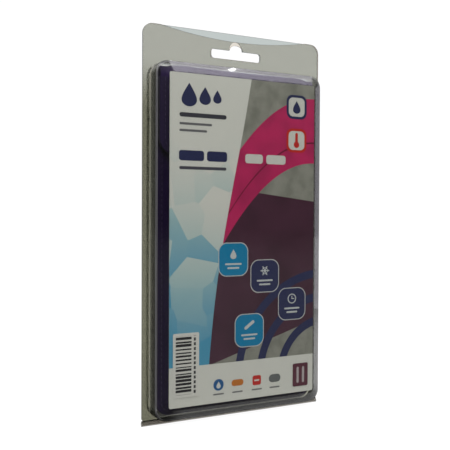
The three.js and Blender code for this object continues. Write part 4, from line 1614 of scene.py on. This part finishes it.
@dataclass(frozen=True)
class Tape:
    """A folded tape along a sewn path."""

    thickness: float
    leg: float
    face: float
    gap: float = 0.15
    soft: float = 0.45
    pucker: float = 0.05
    pucker_pitch: float = 3.1

    @property
    def outer(self) -> float:
        """Level of its outer face."""
        return self.face + self.gap + self.thickness

    def surface(
        self, path: Array, out: Array, middle: float, bend: Callable[[Array], Array] = np.zeros_like
    ) -> tuple[Array, Array]:
        """The tape's outer face: its section carried along the path, with small puckers at the stitches.

        Args:
            path: points in X and Z.
            out: the outward direction at each.
            middle: Y of the middle of what it binds.
            bend: further Y as a function of X.

        Returns:
            The grid's points and its pattern coordinates.
        """
        section = tape_section(
            self.leg, self.face + self.gap, self.thickness, self.gap + self.thickness, self.soft
        )
        along = arc_lengths(path)
        wave = self.pucker * np.sin(2 * np.pi * along / self.pucker_pitch)[:, None]
        reach = section[:, 0] + wave * (section[:, 0] > 0)
        x = path[:, :1] + reach * out[:, :1]
        z = path[:, 1:] + reach * out[:, 1:]
        y = middle + bend(x) + section[:, 1] - np.sign(section[:, 1]) * np.abs(wave) * 0.5
        points = np.stack([x, y, z], axis=-1)
        across = np.broadcast_to(arc_lengths(section), x.shape)
        return points, np.stack([np.broadcast_to(along[:, None], x.shape), across], axis=-1)

    def piece(self, name: str, surface: tuple[Array, Array], look: Material) -> Piece:
        """Builds the tape as a walled piece."""
        work = Patchwork()
        work.grid(*surface)
        return thicken(work.build(name, [look], towards=(0, 0, -1)), self.thickness)


@dataclass(frozen=True)
class WalletLooks:
    """The materials that the wallet's pieces share."""

    cover: Material
    tape: Material
    thread: Material
    pouch: Material
    lining: Material
    hook: Material
    loop: Material
    gel: Material

    @classmethod
    def make(cls) -> "WalletLooks":
        """Makes them all."""
        return cls(
            cover=WovenCloth(
                "cover_cloth", (0.026, 0.006, 0.078), (0.032, 0.009, 0.098), sheen=0.15
            ).material(),
            tape=RibbedTape().material(),
            thread=Thread("purple_thread", (0.075, 0.035, 0.19)).material(),
            pouch=WovenCloth(
                "pouch_cloth", (0.060, 0.026, 0.150), (0.075, 0.034, 0.175), thread=0.55, roughness=0.75
            ).material(),
            lining=WovenCloth(
                "lining_cloth", (0.035, 0.018, 0.085), (0.045, 0.024, 0.10), thread=0.5, roughness=0.8
            ).material(),
            hook=TouchFastener("hook_field", (0.010, 0.009, 0.014), 1.3, 0.35, True).material(),
            loop=TouchFastener("loop_mat", (0.016, 0.012, 0.024), 0.7, 0.4, False).material(),
            gel=GelCrystals().material(),
        )


def cloth_panel(
    name: str, grid: Array, uv: Array, thickness: float, look: Material, side: Side, levels: int = 1
) -> Piece:
    """A cloth panel from its outer face.

    Args:
        name: the piece's name.
        grid: points of its outer face.
        uv: its pattern coordinates.
        thickness: its thickness.
        look: its material.
        side: the side that its outer face looks to.
        levels: levels of subdivision.

    Returns:
        The panel.
    """
    work = Patchwork()
    work.grid(grid, uv)
    piece = work.build(name, [look], towards=(0, side.value, 0), crease=80)
    return thicken(piece, thickness, levels=levels)


@dataclass
class Cover:
    """The wallet's outer cover: two panels, the hem along its mouth, its bound edge and the loop strip."""

    looks: WalletLooks
    corner: float = 6.5
    seam: float = 3.5
    shoulder: float = 12.0
    hem_thickness: float = 1.0
    stitch_inset: float = 2.2
    hem_stitch: float = 1.4
    strip_corner: float = 2.0
    ripple: float = 0.10
    ripple_pitch: float = 5.3
    back: Extent = extent_of("cover_back")
    front: Extent = extent_of("cover_front")
    hem: Extent = extent_of("cover_hem")
    strip: Extent = extent_of("loop_strip")

    def __post_init__(self) -> None:
        """Works out the shared outline and levels."""
        self.layers = Layers(float(self.back.high[1] + self.front.low[1]) / 2)
        half = self.back.half_width
        self.outline = SewnOutline(half, self.back.foot, self.corner, self.seam, self.shoulder)

    def level(self, x: Array, z: Array) -> Array:
        """Level of the panels' inner face."""
        gap = self.layers.seam_gap
        return gap + (self.layers.cover_full - gap) * self.outline.swell(x, z)

    def panel(self, side: Side, top: float) -> tuple[Array, Array]:
        """A panel's outer face, settled as cloth that is a little larger than its place.

        Args:
            side: front or back.
            top: height of its top edge.

        Returns:
            The grid's points and its pattern coordinates.
        """
        x, z = self.outline.lattice(top, 53, 96)
        flat, uv = front_mapped(x, self.layers.at(side, self.level(x, z) + self.layers.cover), z)
        edge = self.outline.distance(x, z)
        held = np.maximum(1 - smooth_step(edge, 2.0, 5.0), 1 - smooth_step(top - z, 1.0, 4.0))
        if side is Side.FRONT:
            beside = np.abs(x) - self.strip.half_width
            past = np.abs(z - self.strip.middle[2]) - (self.strip.top - self.strip.foot) / 2
            held = np.maximum(held, 1 - smooth_step(np.maximum(beside, past), 1.0, 6.0))
        settled = settle_cloth(flat, np.round(held, 1), pressure=1.2, growth=0.012, cap=0.9)
        outwards = side.value * (settled[..., 1] - flat[..., 1])
        settled[..., 1] = flat[..., 1] + side.value * np.maximum(outwards, -0.05)
        wave = np.sin(2 * np.pi * z / self.ripple_pitch + 1.7 * np.sin(z / 17))
        ripple = self.ripple * wave * np.exp(-(((edge - 4.5) / 2.2) ** 2))
        settled[..., 1] += side.value * ripple
        return settled, uv

    def build(self) -> None:
        """Builds the cover's pieces and seats them."""
        wall = self.layers.cover
        for side, extent in ((Side.BACK, self.back), (Side.FRONT, self.front)):
            node = f"cover_{side.name.lower()}"
            surface = self.panel(side, extent.top)
            piece = cloth_panel(f"{node}_panel", *surface, wall, self.looks.cover, side)
            seat(piece, Body.WALLET, Slot.COVER, [node])
        x, z = self.outline.band(self.hem, 53, 8)
        surface = front_mapped(x, self.layers.at(Side.FRONT, self.level(x, z) + self.hem_thickness), z)
        hem = cloth_panel("cover_hem_band", *surface, self.hem_thickness, self.looks.tape, Side.FRONT)
        seat(hem, Body.WALLET, Slot.TAPE, ["cover_hem"])
        path, out = sewn_path(self.outline.half, self.outline.low, self.front.top, self.corner)
        tape = Tape(0.5, 3.1, self.layers.seam_gap + wall)
        binding = tape.piece("cover_edge_tape", tape.surface(path, out, self.layers.middle), self.looks.tape)
        seat(binding, Body.WALLET, Slot.TAPE, ["cover_binding"])
        self.strip_piece()
        self.stitches(path, out, tape)

    def strip_piece(self) -> None:
        """Builds the loop strip and seats it."""
        (left, front, low), (right, back, high) = self.strip.low, self.strip.high
        work = Patchwork()
        work.slab(rounded_loop(left, right, low, high, self.strip_corner, 6), front, back)
        seat(work.build("loop_fastener", [self.looks.loop]), Body.WALLET, Slot.FASTENER, ["loop_strip"])

    def stitches(self, path: Array, out: Array, tape: Tape) -> None:
        """Sews both faces of the binding and the hem."""
        work = Patchwork()
        row = StitchRow()
        inner = path - self.stitch_inset * out
        for side in Side:
            row.add_to(work, inner[:, 0], self.layers.at(side, tape.outer), inner[:, 1], side)
        x = np.linspace(-0.97, 0.97, 80) * self.outline.half
        for z in (self.hem.foot + self.hem_stitch, self.hem.top - self.hem_stitch):
            y = self.layers.at(Side.FRONT, self.level(x, z) + self.hem_thickness)
            row.add_to(work, x, y, z, Side.FRONT)
        seat(work.build("cover_stitching", [self.looks.thread]), Body.WALLET, Slot.TAPE)


@dataclass
class Flap:
    """The fold-over flap: from the cover's back, over the mouth in a half ellipse, and down the front."""

    cover: Cover
    fold_rise: float = 5.6
    seam_rise: float = 0.1
    side_rise_share: float = 0.85
    side_settle: float = 1.2
    spread: float = 2.2
    fullness: float = 0.6
    boxiness: float = 2.7
    corner: float = 9.0
    thickness: float = 0.8
    stand: float = 2.15
    stitch_inset: float = 2.2
    strip_stitch: float = 1.2
    blend_depth: float = 3.4
    held_reach: float = 12.0
    columns: int = 49
    node: Extent = extent_of("flap")
    strip: Extent = extent_of("hook_strip")

    def __post_init__(self) -> None:
        """Works out the flap's levels from those of the cover."""
        self.looks = self.cover.looks
        self.layers = self.cover.layers
        self.fall_half = self.node.half_width
        self.half = self.fall_half + self.spread
        self.top = self.cover.back.top
        self.inner = self.layers.cover_full + self.layers.cover + self.stand
        self.droop = self.stand + self.thickness / 2 + self.side_settle

    def fall(self, x: Array) -> Array:
        """How far the front falls back: the fourth power of the distance from its middle."""
        return self.droop * (x / self.fall_half) ** 4

    def surface(self) -> tuple[Array, Array]:
        """The flap's outer face, with its pattern coordinates along the cloth.

        Returns:
            The grid's points and its pattern coordinates.
        """
        turn = np.linspace(0, np.pi, 22)
        drop = SewnOutline(self.half, self.node.foot, self.corner, 0, 1)
        front_x, front_z = drop.lattice(self.top, self.columns, 26)
        x = np.linspace(-1, 1, self.columns) * self.half * np.ones((len(turn), 1))
        back = self.cover.level(x, np.full_like(x, self.top))
        front = self.inner - self.fall(x)
        reach = (back + front) / 2 + self.thickness
        fuller = (1 - self.side_rise_share) * self.cover.outline.swell(x, self.top)
        rise = (self.fold_rise + self.fullness) * (self.side_rise_share + fuller) + self.thickness
        power = 2 / np.where(turn < np.pi / 2, 2.0, self.boxiness)
        y = self.layers.middle + (back - front) / 2 + reach * signed_power(np.cos(turn), power)[:, None]
        z = self.top + (self.seam_rise + rise) * (np.abs(np.sin(turn)) ** power)[:, None]
        y_front = self.layers.middle - (self.inner - self.fall(front_x) + self.thickness)
        fold = np.stack([x, y, z], axis=-1)
        down = np.stack([front_x, y_front, front_z], axis=-1)[::-1]
        points = np.concatenate([fold, down[1:]])
        along = arc_lengths(points[:, self.columns // 2])
        held = np.zeros(points.shape[:2])
        held[:3] = held[-3:] = 1
        held[:, [0, 1, -1, -2]] = 1
        near_strip = np.abs(points[..., 2] - self.strip.middle[2]) < self.held_reach
        held = np.where(near_strip & (points[..., 1] < self.layers.middle), 1, held)
        settled = settle_cloth(points, held, pressure=1.5, growth=0.015, cap=0.8)
        v = np.broadcast_to(along[:, None], points.shape[:2])
        return settled, np.stack([points[..., 0], v], axis=-1)

    def build(self) -> None:
        """Builds the flap's pieces; seats the tape, the hook fastener and the stitching on the flap's body,
        and reports the flap itself.
        """
        surface = self.surface()
        flap = cloth_panel("cover_flap", *surface, self.thickness, self.looks.cover, Side.FRONT)
        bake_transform(flap)
        register(flap, Slot.COVER, ["flap"])
        middle = self.inner + self.thickness / 2
        path, out = sewn_path(self.half, self.node.foot, self.top, self.corner)
        tape = Tape(0.5, 3.1, self.thickness / 2)
        shape = tape.surface(path, out, self.layers.middle, lambda x: self.fall(x) - middle)
        seat(tape.piece("flap_edge_tape", shape, self.looks.tape), Body.FLAP, Slot.TAPE, ["flap_binding"])
        (left, front, low), (right, back, high) = self.strip.low, self.strip.high
        work = Patchwork()
        work.slab(rounded_loop(left, right, low, high, self.cover.strip_corner, 6), front, back)
        seat(work.build("hook_fastener", [self.looks.hook]), Body.FLAP, Slot.FASTENER, ["hook_strip"])
        self.stitches(path, out, tape, middle)

    def stitches(self, path: Array, out: Array, tape: Tape, middle: float) -> None:
        """Sews both faces of the binding, and the fastener's outline on the flap's face."""
        work = Patchwork()
        row = StitchRow()
        inner = path - self.stitch_inset * out
        for side in Side:
            y = self.layers.middle - middle + self.fall(inner[:, 0]) + side.value * tape.outer
            row.add_to(work, inner[:, 0], y, inner[:, 1], side)
        (left, _, low), (right, _, high) = self.strip.low, self.strip.high
        edge = self.strip_stitch
        loop = rounded_loop(left + edge, right - edge, low + edge, high - edge, 1.0, 4)
        loop = np.concatenate([loop, loop[:1]])
        along = np.linspace(0, arc_lengths(loop)[-1], 200)
        x, z = (np.interp(along, arc_lengths(loop), column) for column in loop.T)
        row.add_to(work, x, self.layers.middle - (self.inner + self.thickness) + self.fall(x), z, Side.FRONT)
        seat(work.build("flap_stitching", [self.looks.thread]), Body.FLAP, Slot.TAPE)


@dataclass
class Pouch:
    """The removable inner pouch: lining, gel channels and quilted skin on each side, with a bound edge."""

    cover: Cover
    corner: float = 7.0
    seam: float = 3.2
    shoulder: float = 8.0
    channels: int = 4
    band_thickness: float = 1.0
    stitch_inset: float = 1.9
    band_stitch: float = 1.3
    cross_pitch: float = 36.0
    cross_dip: float = 0.35
    skin: Extent = extent_of("pouch_back_skin")
    band: Extent = extent_of("pouch_back_band")

    def __post_init__(self) -> None:
        """Works out the outline and where the quilting lines run."""
        self.looks = self.cover.looks
        self.layers = self.cover.layers
        half = self.skin.half_width
        self.outline = SewnOutline(half, self.skin.foot, self.corner, self.seam, self.shoulder)
        self.reach = half - self.seam - self.shoulder
        self.pitch = 2 * self.reach / self.channels

    def quilt(self, x: Array) -> Array:
        """Share of the quilt's height: the root of a sine between two sewn lines, nought past the last."""
        inside = np.abs(x) < self.reach
        return np.where(inside, np.sqrt(np.abs(np.sin(np.pi * (x + self.reach) / self.pitch))), 0)

    def lining_level(self, x: Array, z: Array) -> Array:
        """Level of the lining's inner face."""
        gap = self.layers.seam_gap
        return gap + (self.layers.lining_full - gap) * self.outline.swell(x, z)

    def skin_level(self, x: Array, z: Array) -> Array:
        """Level of the skin's inner face, drawn in by the quilting."""
        full = self.layers.skin_full - self.layers.quilt_dip * (1 - self.quilt(x))
        return self.layers.skin_seam + (full - self.layers.skin_seam) * self.outline.swell(x, z)

    def skin_surface(self, side: Side) -> tuple[Array, Array]:
        """The skin's outer face: sewn down on its quilting lines, it swells between them as cloth.

        Args:
            side: front or back.

        Returns:
            The grid's points and its pattern coordinates.
        """
        top = self.skin.top
        x, z = self.outline.lattice(top, 65, 110)
        grid, uv = front_mapped(x, self.layers.at(side, self.skin_level(x, z) + self.layers.skin), z)
        lines = np.abs((x + self.reach) / self.pitch - np.round((x + self.reach) / self.pitch)) * self.pitch
        on_line = (lines < 0.6 * (x[0, 1] - x[0, 0])) & (np.abs(x) < self.reach + 1)
        off_cross = (z - self.skin.foot) % self.cross_pitch - self.cross_pitch / 2
        edge = self.outline.distance(x, z) < self.seam
        inside = np.abs(x) < self.reach
        held = (on_line | edge | ((np.abs(off_cross) < 0.9) & inside) | (z > top - 1.6)).astype(float)
        dip = np.exp(-(off_cross**2) / 6) * inside
        grid[..., 1] -= side.value * self.cross_dip * dip * self.quilt(x)
        return settle_cloth(grid, held, pressure=4.0, growth=0.02, cap=0.12), uv

    def gel_surface(self, index: int, side: Side) -> tuple[Array, Array]:
        """One gel channel: a flat pillow whose thickness falls off as a superellipse does.

        Args:
            index: number of the channel from the left.
            side: front or back.

        Returns:
            Points of its closed grid and its pattern coordinates.
        """
        node = Extent.of(f"gel_{side.name.lower()}_{index + 1}")
        u = np.linspace(-np.pi / 2, np.pi / 2, 60)[:, None]
        v = np.linspace(0, 2 * np.pi, 33)[None, :-1]
        across = signed_power(np.cos(u), 0.30) * signed_power(np.cos(v), 0.75)
        deep = signed_power(np.cos(u), 0.45) * signed_power(np.sin(v), 0.75)
        up = signed_power(np.sin(u), 0.55) * np.ones_like(v)
        lumps = 1 + 0.06 * np.sin(3.1 * across * 7 + 5 * up) * np.sin(up * 41 + index)
        middle, size = node.middle, (node.high - node.low) / 2
        x = middle[0] + size[0] * across
        y = middle[1] + size[1] * deep * lumps / 1.06
        z = middle[2] + size[2] * up
        points = np.stack(np.broadcast_arrays(x, y, z), axis=-1)
        return points, points[..., [0, 2]]

    def build(self) -> None:
        """Builds the pouch's pieces and seats them."""
        for side in Side:
            place = side.name.lower()
            skin = cloth_panel(
                f"pouch_{place}_quilt", *self.skin_surface(side), self.layers.skin, self.looks.pouch, side
            )
            seat(skin, Body.POUCH, Slot.POUCH, [f"pouch_{place}_skin"])
            self.lining(side, place)
            self.mouth_band(side, place)
            for index in range(self.channels):
                self.gel(index, side, place)
        path, out = sewn_path(self.outline.half, self.outline.low, self.skin.top, self.corner)
        tape = Tape(0.4, 2.8, self.layers.skin_seam + self.layers.skin)
        binding = tape.piece("pouch_edge_tape", tape.surface(path, out, self.layers.middle), self.looks.tape)
        seat(binding, Body.POUCH, Slot.TAPE, ["pouch_binding"])
        self.stitches(path, out, tape)

    def lining(self, side: Side, place: str) -> None:
        """Builds a lining and seats it."""
        x, z = self.outline.lattice(self.skin.top, 41, 60)
        y = self.layers.at(side, self.lining_level(x, z) + self.layers.lining)
        wave = 0.05 * np.sin(z / 9 + x / 7) * self.outline.swell(x, z)
        surface = front_mapped(x, y - side.value * np.abs(wave), z)
        name = f"pouch_{place}_inner_cloth"
        piece = cloth_panel(name, *surface, self.layers.lining, self.looks.lining, side)
        seat(piece, Body.POUCH, Slot.POUCH, [f"pouch_{place}_lining"])

    def mouth_band(self, side: Side, place: str) -> None:
        """Builds the band along the mouth and seats it."""
        x, z = self.outline.band(self.band, 49, 9)
        surface = front_mapped(x, self.layers.at(side, self.lining_level(x, z) + self.band_thickness), z)
        name = f"pouch_{place}_mouth_tape"
        piece = cloth_panel(name, *surface, self.band_thickness, self.looks.tape, side)
        seat(piece, Body.POUCH, Slot.TAPE, [f"pouch_{place}_band"])

    def gel(self, index: int, side: Side, place: str) -> None:
        """Builds one gel channel and seats it."""
        work = Patchwork()
        points, uv = self.gel_surface(index, side)
        work.grid(points, uv, closed=True)
        piece = work.build(f"gel_{place}_pillow_{index + 1}", [self.looks.gel])
        seat(piece, Body.POUCH, Slot.GEL, [f"gel_{place}_{index + 1}"])

    def stitches(self, path: Array, out: Array, tape: Tape) -> None:
        """Sews the binding, the quilting lines and the bands."""
        work = Patchwork()
        row = StitchRow(pitch=3.3, length=2.4)
        inner = path - self.stitch_inset * out
        up = np.linspace(self.skin.foot + self.seam + 1, self.skin.top - 1, 90)
        along = np.linspace(-0.95, 0.95, 80) * self.outline.half
        for side in Side:
            row.add_to(work, inner[:, 0], self.layers.at(side, tape.outer), inner[:, 1], side)
            for number in range(self.channels + 1):
                x = np.full_like(up, -self.reach + number * self.pitch)
                row.add_to(work, x, self.layers.at(side, self.skin_level(x, up) + self.layers.skin), up, side)
            for z in (self.band.foot + self.band_stitch, self.band.top - self.band_stitch):
                y = self.layers.at(side, self.lining_level(along, z) + self.band_thickness)
                row.add_to(work, along, y, z, side)
        seat(work.build("pouch_stitching", [self.looks.thread]), Body.POUCH, Slot.POUCH)


# Studio


@dataclass
class Studio:
    """Pale floor, soft boxes and the camera at the photograph's viewing angle."""

    camera_place: tuple[float, float, float] = (-192.56, -357.5, -97.99)
    yaw: float = 27.5
    pitch: float = -1.06
    roll: float = 0.27
    lens: float = 56.0
    floor_level: float = -215.4
    floor_size: float = 6000.0
    lavender: Colour = (0.93, 0.90, 1.0)
    backdrop: float = 1.04

    def camera(self) -> None:
        """Sets the camera from its place and its yaw, pitch and roll."""
        yaw, pitch, roll = (math.radians(angle) for angle in (self.yaw, self.pitch, self.roll))
        forward = Vector((math.sin(yaw) * math.cos(pitch), math.cos(yaw) * math.cos(pitch), math.sin(pitch)))
        level = Vector((math.cos(yaw), -math.sin(yaw), 0))
        up = level.cross(forward)
        right = math.cos(roll) * level + math.sin(roll) * up
        top = math.cos(roll) * up - math.sin(roll) * level
        data = bpy.data.cameras.new("view")
        data.lens, data.sensor_width = self.lens, 36.0
        data.clip_start, data.clip_end = 0.01, 50
        view = bpy.data.objects.new("view", data)
        turn = Matrix((right, top, -forward)).transposed().to_4x4()
        view.matrix_world = Matrix.Translation(Vector(self.camera_place) * MM) @ turn
        bpy.context.scene.collection.objects.link(view)
        bpy.context.scene.camera = view

    def softbox(
        self, name: str, place: Sequence[float], target: Sequence[float], size: tuple, glow: float,
        tint: Colour = (1, 1, 1), spread: float = 180, mirrored: bool = True,
    ) -> None:
        """A soft box: a rectangle of even light.

        Args:
            name: its name.
            place: its middle, in millimetres.
            target: what it faces.
            size: its width and height in millimetres.
            glow: its radiance beside a white background of 1.
            tint: its colour.
            spread: angle in degrees that it shines into.
            mirrored: whether glossy faces mirror it.
        """
        data = bpy.data.lights.new(name, "AREA")
        data.shape = "RECTANGLE"
        data.size, data.size_y = (side * MM for side in size)
        data.energy = glow * math.pi * data.size * data.size_y
        data.color = tint
        data.spread = math.radians(spread)
        light = bpy.data.objects.new(name, data)
        light.location = Vector(place) * MM
        light.rotation_euler = (Vector(target) * MM - light.location).to_track_quat("-Z", "Y").to_euler()
        light.visible_camera = False
        light.visible_glossy = mirrored
        bpy.context.scene.collection.objects.link(light)

    def world(self) -> None:
        """A white backdrop for the camera, and a room that is dim at eye level and lighter above."""
        n = Nodes("room", world=True)
        up = n.split(n.add("TexCoord").outputs["Generated"])[2]
        limits = {"Value": up, "From Min": 0.05, "From Max": 0.8, "To Min": 0.02, "To Max": 0.4}
        room = n.add("MapRange", limits).outputs[0]
        seen = n.add("LightPath").outputs["Is Camera Ray"]
        glow = n.add("Mix", {0: seen, 2: room, 3: self.backdrop}).outputs[0]
        sky = n.add("Background", {"Color": (1, 1, 1), "Strength": glow}).outputs[0]
        n.add("OutputWorld", {"Surface": sky})
        bpy.context.scene.world = n.owner

    def floor(self) -> None:
        """A plain pale floor, which glows beside the pack for the rays that its faces mirror."""
        half = self.floor_size / 2
        x, y = np.meshgrid(np.linspace(-half, half, 5), np.linspace(-half, half, 5))
        work = Patchwork()
        work.grid(np.stack([x, y, np.full_like(x, self.floor_level)], axis=-1), np.stack([x, y], -1))
        n = Nodes("pale_floor")
        seen = n.add("LightPath").outputs["Is Camera Ray"]
        place = n.place()
        speck = n.noise(place, 40)
        axes = n.split(place)
        beside = n.math("MULTIPLY", n.ramp(axes[0], -44, -34), n.ramp(axes[1], -26, -16))
        away = n.math("MULTIPLY", n.ramp(axes[0], 60, 120, 0.6, 1.25), n.ramp(axes[0], 240, 560, 1.0, 0.28))
        near = n.math("MAXIMUM", n.math("MULTIPLY", beside, away), n.ramp(axes[1], 0, 8, 0, 0.3))
        hidden = n.math("MULTIPLY", n.math("SUBTRACT", 1.0, seen), near)
        look = n.principled(
            Base_Color=n.mix(speck, (0.10, 0.10, 0.10), (0.11, 0.11, 0.11)),
            Roughness=0.8,
            Specular_IOR_Level=0.1,
            Emission_Color=(1, 1, 1, 1),
            Emission_Strength=n.math("MULTIPLY_ADD", seen, 0.97, hidden),
        )
        floor = work.build("floor", [look], towards=(0, 0, 1))

    def build(self) -> None:
        """Sets up the whole studio."""
        self.camera()
        self.world()
        self.floor()
        middle = (0, 0, -105)
        self.softbox("overhead", (285, 70, 480), (285, 70.1, 0), (290, 640), 1.55, self.lavender, 100)
        self.softbox("front_high", (-120, -1400, 1145), middle, (1800, 1040), 6.9, mirrored=False)
        self.softbox("right_side", (145, 15, -80), (0, 15, -80), (50, 180), 0.9, self.lavender)
        self.softbox("back_left", (-262, 400, 0), (-53, 0, -60), (300, 430), 0.4)
        self.softbox("top_glint", (248, -67, 474), (-9, -11, -20), (30, 5), 60.0)
        view = bpy.context.scene.view_settings
        view.view_transform = "Standard"
        LOG.info("studio: camera, floor and soft boxes")


def main() -> None:
    """Builds the studio and every sub-assembly in order."""
    logging.basicConfig(level=logging.INFO, format="%(name)s: %(message)s", force=True)
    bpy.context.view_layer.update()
    Studio().build()
    ClearPack().build()
    PaperGoods().build()
    cover = Cover(WalletLooks.make())
    cover.build()
    Flap(cover).build()
    Pouch(cover).build()


if __name__ == "__main__":
    main()
